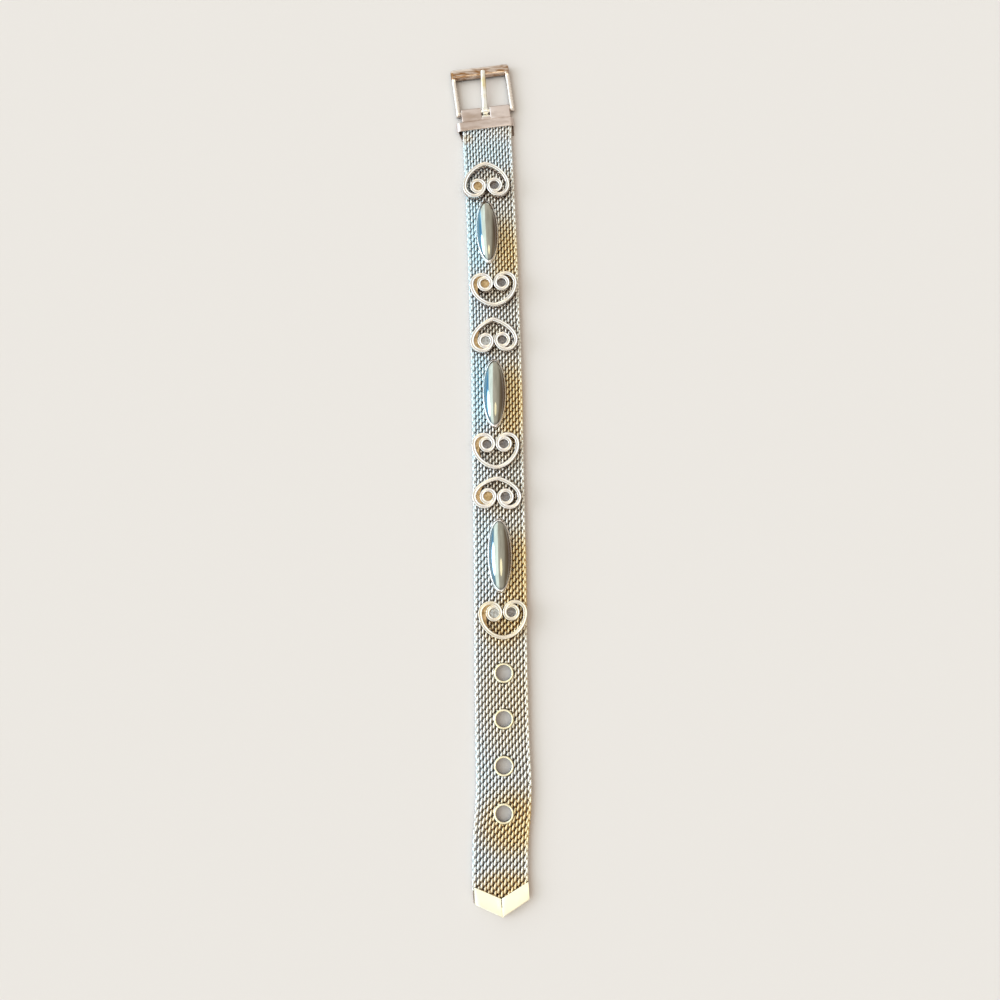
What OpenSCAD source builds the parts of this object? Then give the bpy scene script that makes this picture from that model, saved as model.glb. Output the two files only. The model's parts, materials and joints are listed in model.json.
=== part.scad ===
// Mesh bracelet lying open and flat: a woven wire strap with a pin buckle, a folded tip,
// a row of eyelets, three long oval cabochons and six scrolled wire hearts.
// +X is across the strap, +Y runs towards the buckle and +Z is up from the surface it lies on.

/* [Strap] */
// Width of the woven strap
strap_w = 14; // [12:0.5:18]
// Length from the lower edge of the clamp to the point of the tip
band_len = 210.8; // [200:0.2:230]
// Thickness of the woven strap
mesh_t = 1.5; // [1.3:0.1:1.9]
// Share of that thickness left where the clamp and the tip pinch the strap
pinch = 0.8; // [0.7:0.05:0.9]

/* [Sheet parts] */
// Thickness of the sheet that the clamp and the tip are folded from
sheet_t = 0.4; // [0.3:0.05:0.6]
// Clearance left between neighbouring pieces
gap = 0.05; // [0.03:0.01:0.08]

/* [Clamp] */
// Turn of the clamp and buckle away from straight across, in degrees
skew = 7.6; // [0:0.1:9]
// Width of the clamp's jaws
jaw_w = 16.2; // [15.6:0.1:17]
// Sideways place of the jaws against the strap
jaw_off = -0.3; // [-0.6:0.05:0]
// Depth of the front jaw along the strap
jaw_depth = 2.57; // [2:0.05:3.5]
// Depth of the back jaw past the front one
lip_depth = 2.2; // [1.5:0.1:3.5]
// How far the lower left corner of the back jaw is cut in
lip_taper = 1.2; // [0.4:0.1:1.5]
// How far its lower right corner is cut in
lip_taper_right = 0.3; // [0:0.1:1.5]
// Depth of the pocket that grips the strap
grip = 3; // [2:0.1:3.6]
// Distance from the pivot to the crease above the jaws
crease_y = 3.17; // [2.6:0.05:4]
// Depth of that crease
crease_t = 0.2; // [0.1:0.05:0.3]
// Width of the slot that clears the tongue
slot_w = 2.4; // [2.2:0.1:3]
// Depth of that slot below the pivot
slot_depth = 2.3; // [1.3:0.05:2.6]

/* [Buckle] */
// Outer width of the frame
frame_w = 16.7; // [16.5:0.1:18]
// Sideways place of the buckle against the clamp
buckle_off = 0.3; // [0:0.05:0.4]
// Width of each side rail
rail_w = 1.35; // [1.2:0.05:1.6]
// Thickness of each side rail
rail_t = 1.7; // [1.3:0.1:2]
// Distance from the pivot to the far edge of the cross bar
frame_reach = 13.25; // [11:0.05:16]
// Depth of the cross bar
bar_depth = 2.95; // [2:0.05:3.5]
// Height of the cross bar above what the buckle lies on
bar_t = 2.3; // [2:0.1:3]
// Rise of the cross bar's rounded face
bar_dome = 0.4; // [0.2:0.05:0.6]
// Radius of the two outer corners
corner_r = 0.8; // [0.5:0.1:1.4]
// Diameter of the pivot bar
pivot_d = 1; // [0.8:0.05:1.2]

/* [Tongue] */
// Width of the tongue at its root
tongue_w = 1.7; // [1.4:0.1:2]
// Width of the tongue at its end
tongue_end_w = 1.3; // [0.9:0.1:1.4]
// Thickness of the tongue
tongue_t = 0.8; // [0.6:0.05:1]
// Sideways lean of the tongue, in degrees
tongue_lean = 4.2; // [0:0.2:5]
// How far the tongue ends short of the cross bar's far edge
tongue_short = 1.5; // [0:0.1:2]

/* [Tip] */
// Width of the folded tip
tip_w = 14; // [13.8:0.1:16]
// Depth of the tip's band along the strap
tip_depth = 4.5; // [3:0.05:6]
// Slope of the two lower edges that make the point, in degrees
tip_slope = 28; // [20:0.2:35]
// Slope of the two upper edges, in degrees
notch_slope = 26.5; // [20:0.5:35]
// Turn of the tip against the strap, in degrees
tip_turn = 4.5; // [0:0.5:5]
// Solid metal along the fold
fold_t = 0.6; // [0.4:0.05:1]
// Length of the open seam in the front sheet
seam_len = 2.1; // [1:0.1:2.6]
// Width of the open seam
seam_w = 0.16; // [0.1:0.02:0.3]
// How far the front sheet stops short of the tip's left edge
tip_step = 0.5; // [0.2:0.1:0.8]

/* [Eyelets] */
// Bore of an eyelet
eyelet_bore = 4; // [3:0.1:4.4]
// Width of an eyelet's rim
eyelet_rim = 0.5; // [0.4:0.05:0.7]
// How far an eyelet stands proud of each face of the strap
eyelet_proud = 0.25; // [0.1:0.05:0.3]
// Distance from the point of the tip to the first eyelet
eyelet_start = 24.7; // [20:0.1:28]
// Distance between neighbouring eyelets
eyelet_pitch = 11.6; // [9:0.2:12]

/* [Hearts] */
// Width of a heart
heart_w = 12.8; // [11.6:0.1:13.4]
// Height of a heart
heart_h = 9.8; // [9:0.1:10.4]
// Width of the wire ribbon, seen from the front
ribbon_w = 1; // [0.8:0.05:1.1]
// Height of the ribbon off the strap
ribbon_h = 1.8; // [1:0.1:2.4]
// Space between the two scrolls where they meet
scroll_gap = 0.08; // [0.06:0.02:0.2]

/* [Stones] */
// Length of a cabochon
stone_len = 18.1; // [15:0.1:19]
// Width of a cabochon
stone_w = 5.9; // [5:0.1:8]
// Height of a cabochon's dome above the floor of its bezel
stone_h = 2.3; // [1.8:0.1:2.8]
// Thickness of a bezel's wall
bezel_t = 0.2; // [0.2:0.05:0.5]
// Height of a bezel's wall on the stone
bezel_h = 0.4; // [0.3:0.1:1.1]
// Thickness of a bezel's floor
floor_t = 0.25; // [0.2:0.05:0.4]

/* [Hidden] */
$fn = 64;

// How the strap lies. Each row: place along it from the tip (share of band_len),
// place aside (share of strap_w) and width (share of strap_w)
LAY = [
    [0.00, 0.000, 1.02],
    [0.05, 0.006, 1.02],
    [0.09, 0.014, 1.02],
    [0.12, 0.054, 1.03],
    [0.15, 0.073, 1.03],
    [0.20, 0.047, 1.01],
    [0.30, 0.019, 1.00],
    [0.42, 0.000, 1.00],
    [0.53, -0.029, 1.00],
    [0.67, -0.068, 1.00],
    [0.77, -0.117, 1.00],
    [0.89, -0.184, 1.00],
    [1.00, -0.268, 1.00]
];
// Each heart: place along (share of band_len), aside of the strap's middle (share of strap_w),
// turn in degrees, width (share of heart_w), height (share of heart_h), how pointed it is
// from 0 to 1, and 1 where it points at the buckle or -1 at the tip
HEARTS = [
    [0.914, -0.071, 4.0, 1.01, 1.05, 0.20, 1],
    [0.779, -0.007, 4.5, 1.00, 1.00, 0.10, -1],
    [0.702, -0.034, 4.0, 1.00, 0.99, 0.32, 1],
    [0.566, -0.046, 1.5, 0.99, 1.01, 0.10, -1],
    [0.499, -0.038, -1.5, 1.01, 0.88, 0.25, 1],
    [0.355, 0.042, 3.0, 0.99, 1.02, 0.06, -1]
];
// Each stone: place along (share of band_len), aside (share of strap_w), turn in degrees and size
// (share of stone_len and of stone_w)
STONES = [
    [0.853, -0.091, 3.0, 1.00],
    [0.634, -0.051, 0.5, 1.03],
    [0.426, -0.003, 1.5, 1.05]
];
// The point of the tip and the line of eyelets, aside as shares of strap_w
tip_aside = 0.051;
eyelet_aside = 0.07;
eyelet_n = 4;
// The ring that each end of a heart's ribbon closes into, as a share of its lobe's radius
scroll_share = 0.635;
strap_steps = 60;
// Size of the blocks that trim the strap's two ends
trim = strap_w * 2;

lip_t = pinch * mesh_t;
body_t = lip_t + 2 * (sheet_t + gap);
mid_z = body_t / 2;
mesh_lo = mid_z - mesh_t / 2;
mesh_hi = mid_z + mesh_t / 2;
jaw_y = crease_y + jaw_depth;
knuckle_w = frame_w - 2 * rail_w - 4 * gap;
bore_r = pivot_d / 2 + gap;

// Smooth value of column c of the table LAY at place s along the strap
function lay_row(s, i = 0) = (i >= len(LAY) - 2 || s < LAY[i + 1][0]) ? i : lay_row(s, i + 1);
function lay_slope(i, c) =
    let(a = LAY[max(i - 1, 0)], b = LAY[min(i + 1, len(LAY) - 1)])
    (b[c] - a[c]) / (b[0] - a[0]);
function lay_at(s, c) =
    let(
        i = lay_row(s),
        run = LAY[i + 1][0] - LAY[i][0],
        u = (s - LAY[i][0]) / run,
        rise = LAY[i + 1][c] - LAY[i][c],
        bend_a = lay_slope(i, c) * run - rise,
        bend_b = rise - lay_slope(i + 1, c) * run
    )
    LAY[i][c] + u * rise + u * (1 - u) * (bend_a * (1 - u) + bend_b * u);
function strap_x(y) = strap_w * lay_at(y / band_len, 1);
function strap_half(y) = strap_w / 2 * lay_at(y / band_len, 2);

// Where the pivot stands, so that the clamp's lower edge meets the strap's end
pivot_x = strap_x(band_len) - jaw_y * sin(skew);
pivot_y = band_len + jaw_y * cos(skew);
// The corners that set the middle of the whole bracelet
corner_x = frame_w / 2 - corner_r;
corner_y = frame_reach - corner_r;
far_x = pivot_x - (corner_x - buckle_off) * cos(skew) - corner_y * sin(skew) - corner_r;
far_y = pivot_y + corner_y * cos(skew) + (corner_x + buckle_off) * sin(skew) + corner_r;
right_x = max([for (i = [0:strap_steps]) strap_x(i / strap_steps * band_len)
    + strap_half(i / strap_steps * band_len)]);
mid_x = (far_x + right_x) / 2;
mid_y = far_y / 2;

module lay_out() {
    translate([-mid_x, -mid_y, 0]) children();
}
module at_pivot() {
    lay_out() translate([pivot_x, pivot_y, 0]) rotate([0, 0, skew]) children();
}
module at_buckle() {
    at_pivot() translate([buckle_off, 0, 0]) children();
}
module at_tip() {
    lay_out() translate([tip_aside * strap_w, 0, 0]) rotate([0, 0, tip_turn]) children();
}
module on_strap(row, turn) {
    y = row[0] * band_len;
    lay_out() translate([strap_x(y) + row[1] * strap_w, y, mesh_hi + gap]) rotate([0, 0, turn])
        children();
}
module at_eyelet(i) {
    lay_out() translate([eyelet_aside * strap_w, eyelet_start + i * eyelet_pitch, 0]) children();
}
// A round bar along X, centred
module cross_bar(d, length) {
    rotate([0, 90, 0]) cylinder(d = d, h = length, center = true);
}

// Band of the tip, between two heights above its point: a chevron of half width w
module chevron(w, low, high, t) {
    side_low = low + w * tan(tip_slope);
    side_high = high + w * tan(notch_slope);
    linear_extrude(height = t)
        polygon([[0, low], [w, side_low], [w, side_high], [0, high], [-w, side_high], [-w, side_low]]);
}

module strap_outline() {
    steps = [for (i = [0:strap_steps]) i / strap_steps * band_len];
    polygon(concat(
        [for (y = steps) [strap_x(y) + strap_half(y), y]],
        [for (i = [strap_steps:-1:0]) [strap_x(steps[i]) - strap_half(steps[i]), steps[i]]]
    ));
}
// The pinched ends that the clamp and the tip hold
module clamp_lip() {
    low = jaw_y + lip_depth + lip_taper;
    high = jaw_y - grip + gap;
    at_pivot() translate([-strap_w / 2, -low, mid_z - lip_t / 2])
        cube([strap_w, low - high, lip_t]);
}
module tip_lip() {
    at_tip() translate([0, 0, mid_z - lip_t / 2])
        chevron(strap_w / 2, fold_t + gap, tip_depth + fold_t, lip_t);
}
module strap() {
    color("gainsboro") difference() {
        union() {
            difference() {
                lay_out() translate([0, 0, mesh_lo]) linear_extrude(height = mesh_t)
                    strap_outline();
                at_pivot() translate([-trim / 2, -jaw_y - lip_depth - gap, mesh_lo - gap])
                    cube([trim, trim, mesh_t + 2 * gap]);
                at_tip() translate([0, 0, mesh_lo - gap])
                    chevron(trim / 2, -trim, tip_depth + gap, mesh_t + 2 * gap);
            }
            clamp_lip();
            tip_lip();
        }
        for (i = [0:eyelet_n - 1]) at_eyelet(i)
            cylinder(r = eyelet_bore / 2 + eyelet_rim + gap, h = body_t * 2, center = true);
    }
}

module strap_tip() {
    color("whitesmoke") at_tip() difference() {
        chevron(tip_w / 2, 0, tip_depth, body_t);
        translate([0, 0, sheet_t])
            chevron(trim / 2, fold_t, tip_depth + fold_t, lip_t + 2 * gap);
        translate([-seam_w / 2, tip_depth - seam_len, mid_z])
            cube([seam_w, seam_len + fold_t, body_t]);
        translate([tip_step - tip_w / 2 - trim, 0, sheet_t]) cube([trim, trim, body_t]);
    }
}

module end_clamp() {
    color("rosybrown") at_pivot() difference() {
        union() {
            translate([buckle_off, 0, mid_z]) cross_bar(body_t, knuckle_w);
            translate([buckle_off - knuckle_w / 2, -crease_y - gap, 0])
                cube([knuckle_w, crease_y + gap, body_t]);
            translate([jaw_off - jaw_w / 2, -jaw_y, 0]) cube([jaw_w, jaw_depth, body_t]);
            translate([jaw_off, -jaw_y, 0]) linear_extrude(height = sheet_t)
                polygon([[-jaw_w / 2, gap], [jaw_w / 2, gap], [jaw_w / 2, 0],
                    [jaw_w / 2 - lip_taper_right, -lip_depth], [lip_taper - jaw_w / 2, -lip_depth],
                    [-jaw_w / 2, 0]]);
        }
        translate([-strap_w / 2 - gap, -jaw_y - gap, sheet_t])
            cube([strap_w + 2 * gap, grip + gap, lip_t + 2 * gap]);
        translate([0, 0, mid_z]) cross_bar(2 * bore_r, frame_w);
        translate([buckle_off - slot_w / 2, -slot_depth, -gap])
            cube([slot_w, slot_depth + body_t, body_t + 2 * gap]);
        translate([0, -crease_y, body_t]) rotate([45, 0, 0])
            cube([frame_w * 2, crease_t * sqrt(2), crease_t * sqrt(2)], center = true);
    }
}

module pivot_bar() {
    color("silver") at_buckle() translate([0, 0, mid_z]) cross_bar(pivot_d, frame_w - 2 * gap);
}

module frame_corner(side) {
    translate([side * corner_x, corner_y, -gap]) difference() {
        translate([side > 0 ? 0 : -corner_r * 2, 0, 0])
            cube([corner_r * 2, corner_r * 2, bar_t + 2 * gap]);
        cylinder(r = corner_r, h = bar_t * 3, center = true);
    }
}
module buckle_frame() {
    dome_r = (pow(bar_depth / 2, 2) + pow(bar_dome, 2)) / (2 * bar_dome);
    color("tan") at_buckle() difference() {
        union() {
            for (side = [-1, 1]) {
                translate([side * (frame_w - rail_w) / 2, 0, mid_z]) cross_bar(body_t, rail_w);
                translate([side * (frame_w - rail_w) / 2 - rail_w / 2, 0, mid_z - rail_t / 2])
                    cube([rail_w, frame_reach - bar_depth / 2, rail_t]);
            }
            intersection() {
                translate([-frame_w / 2, frame_reach - bar_depth, 0])
                    cube([frame_w, bar_depth, bar_t]);
                translate([0, frame_reach - bar_depth / 2, bar_t - dome_r])
                    cross_bar(2 * dome_r, frame_w * 2);
            }
        }
        translate([0, 0, mid_z]) cross_bar(2 * bore_r, frame_w * 2);
        for (side = [-1, 1]) frame_corner(side);
    }
}

module tongue() {
    seat_z = bar_t + gap;
    seat_y = frame_reach - bar_depth;
    root_z = mid_z - tongue_t / 2;
    end_y = frame_reach - tongue_short;
    color("ghostwhite") at_buckle() difference() {
        union() {
            translate([0, 0, mid_z]) cross_bar(body_t, tongue_w);
            intersection() {
                rotate([0, 0, -tongue_lean]) rotate([90, 0, 90])
                    linear_extrude(height = tongue_w * 2, center = true)
                    polygon([[0, root_z], [seat_y, seat_z], [end_y - tongue_t / 2, seat_z],
                        [end_y, seat_z + tongue_t / 2], [end_y - tongue_t / 2, seat_z + tongue_t],
                        [seat_y, seat_z + tongue_t], [0, root_z + tongue_t]]);
                rotate([0, 0, -tongue_lean]) linear_extrude(height = bar_t * 3)
                    polygon([[-tongue_w / 2, 0], [tongue_w / 2, 0],
                        [tongue_end_w / 2, end_y], [-tongue_end_w / 2, end_y]]);
            }
        }
        translate([0, 0, mid_z]) cross_bar(2 * bore_r, tongue_w * 3);
    }
}

module eyelet(i) {
    low = mesh_lo - eyelet_proud;
    tall = mesh_t + 2 * eyelet_proud;
    color("khaki") at_eyelet(i) rotate_extrude() translate([eyelet_bore / 2, low]) union() {
        translate([0, eyelet_rim / 2]) square([eyelet_rim, tall - eyelet_rim]);
        translate([eyelet_rim / 2, eyelet_rim / 2]) circle(d = eyelet_rim);
        translate([eyelet_rim / 2, tall - eyelet_rim / 2]) circle(d = eyelet_rim);
    }
}

// The dome of stone i is part of a long spheroid, cut stone_cut(i) above its axis
function stone_r(i) = (pow(stone_h, 2) + pow(STONES[i][3] * stone_w / 2, 2)) / (2 * stone_h);
function stone_cut(i) = stone_r(i) - stone_h;
function stone_a(i) = STONES[i][3] * stone_len / 2 / sqrt(1 - pow(stone_cut(i) / stone_r(i), 2));
module spheroid(i, grow) {
    rotate([90, 0, 0]) rotate_extrude()
        polygon([for (a = [-90:6:90]) [(stone_r(i) + grow) * cos(a), (stone_a(i) + grow) * sin(a)]]);
}
module stone_slab(low, high) {
    translate([-stone_len, -stone_len, low]) cube([stone_len * 2, stone_len * 2, high - low]);
}
module seated(i) {
    on_strap(STONES[i], STONES[i][2]) translate([0, 0, floor_t - stone_cut(i)]) children();
}
module bezel(i) {
    color("lightgray") seated(i) difference() {
        intersection() {
            spheroid(i, gap + bezel_t);
            stone_slab(stone_cut(i) - floor_t, stone_cut(i) + bezel_h);
        }
        intersection() {
            spheroid(i, gap);
            stone_slab(stone_cut(i), stone_cut(i) + stone_w);
        }
    }
}
module cabochon(i) {
    color("dimgray") seated(i) intersection() {
        spheroid(i, 0);
        stone_slab(stone_cut(i) + gap, stone_cut(i) + stone_w);
    }
}

// Points on an arc about [cx, 0], from angle a to angle b without the last one
function arc(cx, r, a, b, n) =
    [for (i = [0:n - 1]) let(t = a + (b - a) * i / n) [cx + r * cos(t), r * sin(t)]];
// Where a heart's ribbon starts beside its middle, and the radius of a lobe of a heart w wide
start_x = (ribbon_w + scroll_gap) / 2;
function lobe_r(w) = (w / 2 - ribbon_w / 2 - start_x) / 2;
// Middle line of half a heart: lobe and side, up to the point
function half_heart(w, h, peak) =
    let(
        side_a = start_x + 2 * lobe_r(w),
        side_b = h - lobe_r(w) - ribbon_w
    )
    concat(
        arc(start_x + lobe_r(w), lobe_r(w), 180, 360, 14),
        [for (t = [0:8:88]) [side_a * cos(t), side_b * ((1 - peak) * sin(t) + peak * (1 - cos(t)))]],
        [[0, side_b]]
    );
function flip(p) = [for (i = [len(p) - 2:-1:0]) [-p[i][0], p[i][1]]];
// The line p moved aside by d
function beside(p, d) =
    [for (i = [0:len(p) - 1])
        let(v = p[min(i + 1, len(p) - 1)] - p[max(i - 1, 0)])
        p[i] + d / norm(v) * [-v[1], v[0]]];
function backward(p) = [for (i = [len(p) - 1:-1:0]) p[i]];
// The ring of radius r in one lobe, on the side given as -1 or 1
module scroll(side, r) {
    translate([side * (start_x + r), 0, 0]) difference() {
        cylinder(r = r + ribbon_w / 2, h = ribbon_h);
        translate([0, 0, -gap]) cylinder(r = r - ribbon_w / 2, h = ribbon_h + 2 * gap);
    }
}
module heart(i) {
    row = HEARTS[i];
    w = heart_w * row[3];
    half = half_heart(w, heart_h * row[4], row[5]);
    line = concat(half, flip(half));
    color("white") on_strap(row, row[2] + (row[6] > 0 ? 0 : 180)) union() {
        linear_extrude(height = ribbon_h)
            polygon(concat(beside(line, ribbon_w / 2), backward(beside(line, -ribbon_w / 2))));
        for (side = [-1, 1]) scroll(side, scroll_share * lobe_r(w));
    }
}

strap();
strap_tip();
end_clamp();
pivot_bar();
buckle_frame();
tongue();
eyelet(0);  // eyelet_1
eyelet(1);  // eyelet_2
eyelet(2);  // eyelet_3
eyelet(3);  // eyelet_4
bezel(0);  // bezel_1
bezel(1);  // bezel_2
bezel(2);  // bezel_3
cabochon(0);  // cabochon_1
cabochon(1);  // cabochon_2
cabochon(2);  // cabochon_3
heart(0);  // heart_1
heart(1);  // heart_2
heart(2);  // heart_3
heart(3);  // heart_4
heart(4);  // heart_5
heart(5);  // heart_6
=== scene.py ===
"""Looks of an open mesh bracelet: woven wire, buckle, folded tip, eyelets, stones and wire hearts.

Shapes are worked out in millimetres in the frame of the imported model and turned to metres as
they go into Blender. Every new piece sits at the origin with its place in its mesh.
"""

import json
import logging
import math
from dataclasses import dataclass
from enum import Enum

import bpy
import numpy as np
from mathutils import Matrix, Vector


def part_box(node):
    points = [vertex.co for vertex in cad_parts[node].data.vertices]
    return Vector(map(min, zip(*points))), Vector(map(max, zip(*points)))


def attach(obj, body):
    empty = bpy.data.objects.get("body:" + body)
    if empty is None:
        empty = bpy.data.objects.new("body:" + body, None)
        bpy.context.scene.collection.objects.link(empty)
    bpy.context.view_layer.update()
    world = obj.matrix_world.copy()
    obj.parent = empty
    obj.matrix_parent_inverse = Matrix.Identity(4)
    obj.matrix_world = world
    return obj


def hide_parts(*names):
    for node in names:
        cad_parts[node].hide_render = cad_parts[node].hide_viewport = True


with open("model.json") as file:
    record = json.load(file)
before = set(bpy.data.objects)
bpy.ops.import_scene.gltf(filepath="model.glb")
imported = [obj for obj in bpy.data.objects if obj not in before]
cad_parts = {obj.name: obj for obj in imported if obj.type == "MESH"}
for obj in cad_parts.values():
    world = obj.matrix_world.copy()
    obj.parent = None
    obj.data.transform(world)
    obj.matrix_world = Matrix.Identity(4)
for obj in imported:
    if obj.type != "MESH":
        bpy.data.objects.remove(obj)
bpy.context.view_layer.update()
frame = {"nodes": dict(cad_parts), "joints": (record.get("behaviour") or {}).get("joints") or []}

LOG = logging.getLogger("bracelet")
MM = 0.001
EYELETS = range(1, 5)
# A stone's tone where its painted blue reflection begins on the left flank, and where it is full
BLUE_REFLECTION_SPAN = (-0.45, -0.54)

Array, Pair, Triple = np.ndarray, tuple[float, float], tuple[float, float, float]
Material, Tree, Socket = bpy.types.Material, bpy.types.NodeTree, bpy.types.NodeSocket


class Slot(Enum):
    """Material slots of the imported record."""

    WOVEN = "woven_silver_wire"
    SHEET = "satin_silver_sheet"
    BUCKLE = "buckle_silver"
    BRIGHT = "bright_silver"
    STONE = "dark_polished_stone"


class Body(Enum):
    """Bodies that the pieces ride on."""

    BAND = "band"
    FRAME = "frame"
    TONGUE = "tongue"


# Colour and node helpers


def linear(hex_colour: str) -> tuple[float, float, float, float]:
    """Turn an sRGB hex colour to linear light.

    Args:
        hex_colour: six hex digits, such as "c0c0c0".

    Returns:
        Linear red, green, blue and alpha.
    """
    parts = [int(hex_colour[i:i + 2], 16) / 255 for i in (0, 2, 4)]
    flat = [p / 12.92 if p <= 0.04045 else ((p + 0.055) / 1.055) ** 2.4 for p in parts]
    return (flat[0], flat[1], flat[2], 1.0)


def put(tree: Tree, kind: str, inputs: dict | None = None, **settings) -> bpy.types.Node:
    """Add a node, set its properties and fill or link its inputs.

    Args:
        tree: the node tree that takes the node.
        kind: the node's type name without "ShaderNode".
        inputs: input name or number to a value, or to a socket that is linked to it.
        **settings: properties of the node.

    Returns:
        The new node.
    """
    node = tree.nodes.new("ShaderNode" + kind)
    for key, value in settings.items():
        setattr(node, key, value)
    for key, value in (inputs or {}).items():
        if isinstance(value, Socket):
            tree.links.new(value, node.inputs[key])
        else:
            node.inputs[key].default_value = value
    return node


def ramp(tree: Tree, factor: Socket, stops: list[tuple[float, str]]) -> Socket:
    """Add a colour ramp.

    Args:
        tree: the node tree.
        factor: socket that drives the ramp.
        stops: place from 0 to 1 and sRGB hex colour of each stop.

    Returns:
        The ramp's colour.
    """
    node = put(tree, "ValToRGB", {"Fac": factor})
    bar = node.color_ramp.elements
    while len(bar) < len(stops):
        bar.new(0.5)
    for element, (place, colour) in zip(bar, stops):
        element.position = place
        element.color = linear(colour)
    return node.outputs["Color"]


# Shape helpers, all in millimetres


def quads(rings: int, count: int, closed: bool) -> Array:
    """Corner indices of the faces between rings of points.

    Args:
        rings: number of rings.
        count: number of points round a ring.
        closed: join the last ring to the first.

    Returns:
        Array of four indices a face.
    """
    ring, near = np.ogrid[:rings if closed else rings - 1, :count]
    low, high, far = ring * count, (ring + 1) % rings * count, (near + 1) % count
    return np.stack([low + near, low + far, high + far, high + near], -1).reshape(-1, 4)


@dataclass
class Shape:
    """Points in millimetres and faces of any number of corners."""

    points: Array
    faces: list[Array]

    def plus(self, other: "Shape") -> "Shape":
        """This shape and another one in one."""
        moved = [f + len(self.points) for f in other.faces]
        return Shape(np.concatenate([self.points, other.points]), self.faces + moved)

    def mapped(self, points: Array) -> "Shape":
        """The same faces on other points."""
        return Shape(points, self.faces)


def loft(rings: Array, caps: bool = True, closed: bool = False) -> Shape:
    """Skin a row of closed rings.

    Args:
        rings: points as (ring, point round the ring, xyz).
        caps: close both ends with one face each.
        closed: join the last ring to the first.

    Returns:
        The skinned shape.
    """
    n, m = rings.shape[:2]
    faces = [quads(n, m, closed)]
    if caps and not closed:
        faces += [np.arange(m)[None, ::-1], (n - 1) * m + np.arange(m)[None]]
    return Shape(rings.reshape(-1, 3), faces)


def unit(v: Array) -> Array:
    """Vectors along the last axis, brought to length 1."""
    return v / np.maximum(np.linalg.norm(v, axis=-1, keepdims=True), 1e-12)


def rounded(corners: list[Pair], radius: float | list[float], steps: int = 4) -> Array:
    """A closed outline with its corners rounded.

    Each corner is left at its radius before it and met again at its radius after it, along the
    curve (1-t)^2 before + 2t(1-t) corner + t^2 after.

    Args:
        corners: the outline's corners, anticlockwise.
        radius: one distance for all corners, or one for each.
        steps: points on each rounded corner, less one.

    Returns:
        Outline points as (n, 2).
    """
    pts = np.asarray(corners, float)
    reach = np.broadcast_to(np.asarray(radius, float), (len(pts),))[:, None]
    before = pts + reach * unit(np.roll(pts, 1, 0) - pts)
    after = pts + reach * unit(np.roll(pts, -1, 0) - pts)
    t = np.linspace(0, 1, steps + 1)[None, :, None]
    before, middle, after = before[:, None], pts[:, None], after[:, None]
    return ((1 - t) ** 2 * before + 2 * t * (1 - t) * middle + t ** 2 * after).reshape(-1, 2)


def inset(outline: Array, depth: float) -> Array:
    """A closed anticlockwise outline drawn in by a depth, along its corner normals."""
    run = unit(np.roll(outline, -1, 0) - np.roll(outline, 1, 0))
    return outline - depth * np.stack([run[:, 1], -run[:, 0]], -1)


def prism(outline: Array, low: float, high: float, soften: float, steps: int = 3,
          middle: int = 2) -> Shape:
    """Carry an outline in (y, z) along x, with its two end edges softened.

    At an angle a of the softening the outline is drawn in by soften * (1 - sin a) and stands
    soften * (1 - cos a) from the end.

    Args:
        outline: anticlockwise outline in (y, z), seen from +x.
        low: lower x of the prism.
        high: upper x of the prism.
        soften: radius of the softened ends.
        steps: rings on each softened end, less one.
        middle: rings between the two ends.

    Returns:
        The closed prism.
    """
    a = np.linspace(0, math.pi / 2, steps + 1)
    into, short = soften * (1 - np.sin(a)), soften * (1 - np.cos(a))
    flat = np.linspace(low + soften, high - soften, middle + 2)[1:-1]
    xs = np.concatenate([low + short, flat, (high - short)[::-1]])
    depths = np.concatenate([into, np.zeros(middle), into[::-1]])
    flats = np.array([inset(outline, depth) for depth in depths])
    across = np.broadcast_to(xs[:, None, None], flats[..., :1].shape)
    return loft(np.concatenate([across, flats], -1))


def revolve(profile: Array, centre: Array, count: int = 56) -> Shape:
    """Turn a closed profile about a vertical axis.

    Args:
        profile: points in (radius, z).
        centre: a point on the axis.
        count: steps of the turn.

    Returns:
        The closed ring.
    """
    a = np.linspace(0, 2 * math.pi, count, endpoint=False)[:, None]
    x = centre[0] + profile[None, :, 0] * np.cos(a)
    y = centre[1] + profile[None, :, 0] * np.sin(a)
    z = np.broadcast_to(profile[None, :, 1], x.shape)
    return loft(np.stack([x, y, z], -1), caps=False, closed=True)


def smooth_step(v: Array, low: float, high: float) -> Array:
    """0 below low, 1 above high and 3t^2 - 2t^3 between them."""
    t = np.clip((v - low) / (high - low), 0, 1)
    return t * t * (3 - 2 * t)


def node_points(name: str) -> Array:
    """Points of a CAD node.

    Args:
        name: the node's name.

    Returns:
        Points in millimetres as (n, 3).
    """
    mesh = frame["nodes"][name].data
    co = np.empty(len(mesh.vertices) * 3, np.float32)
    mesh.vertices.foreach_get("co", co)
    return co.reshape(-1, 3).astype(float) / MM


def box_mm(name: str) -> tuple[Array, Array]:
    """Lowest and highest corner of a CAD node, in millimetres."""
    low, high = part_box(name)
    return np.array(low) / MM, np.array(high) / MM


def oblong(count: int, power: float) -> tuple[Array, Array]:
    """Cosine and sine round a ring, each brought to a power with its sign kept.

    Args:
        count: points round the ring.
        power: 1 for a circle, and less for a squarer ring.

    Returns:
        The two sides of the ring's points, from -1 to 1.
    """
    a = np.linspace(0, 2 * math.pi, count, endpoint=False)
    c, s = np.cos(a), np.sin(a)
    return np.sign(c) * np.abs(c) ** power, np.sign(s) * np.abs(s) ** power


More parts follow.
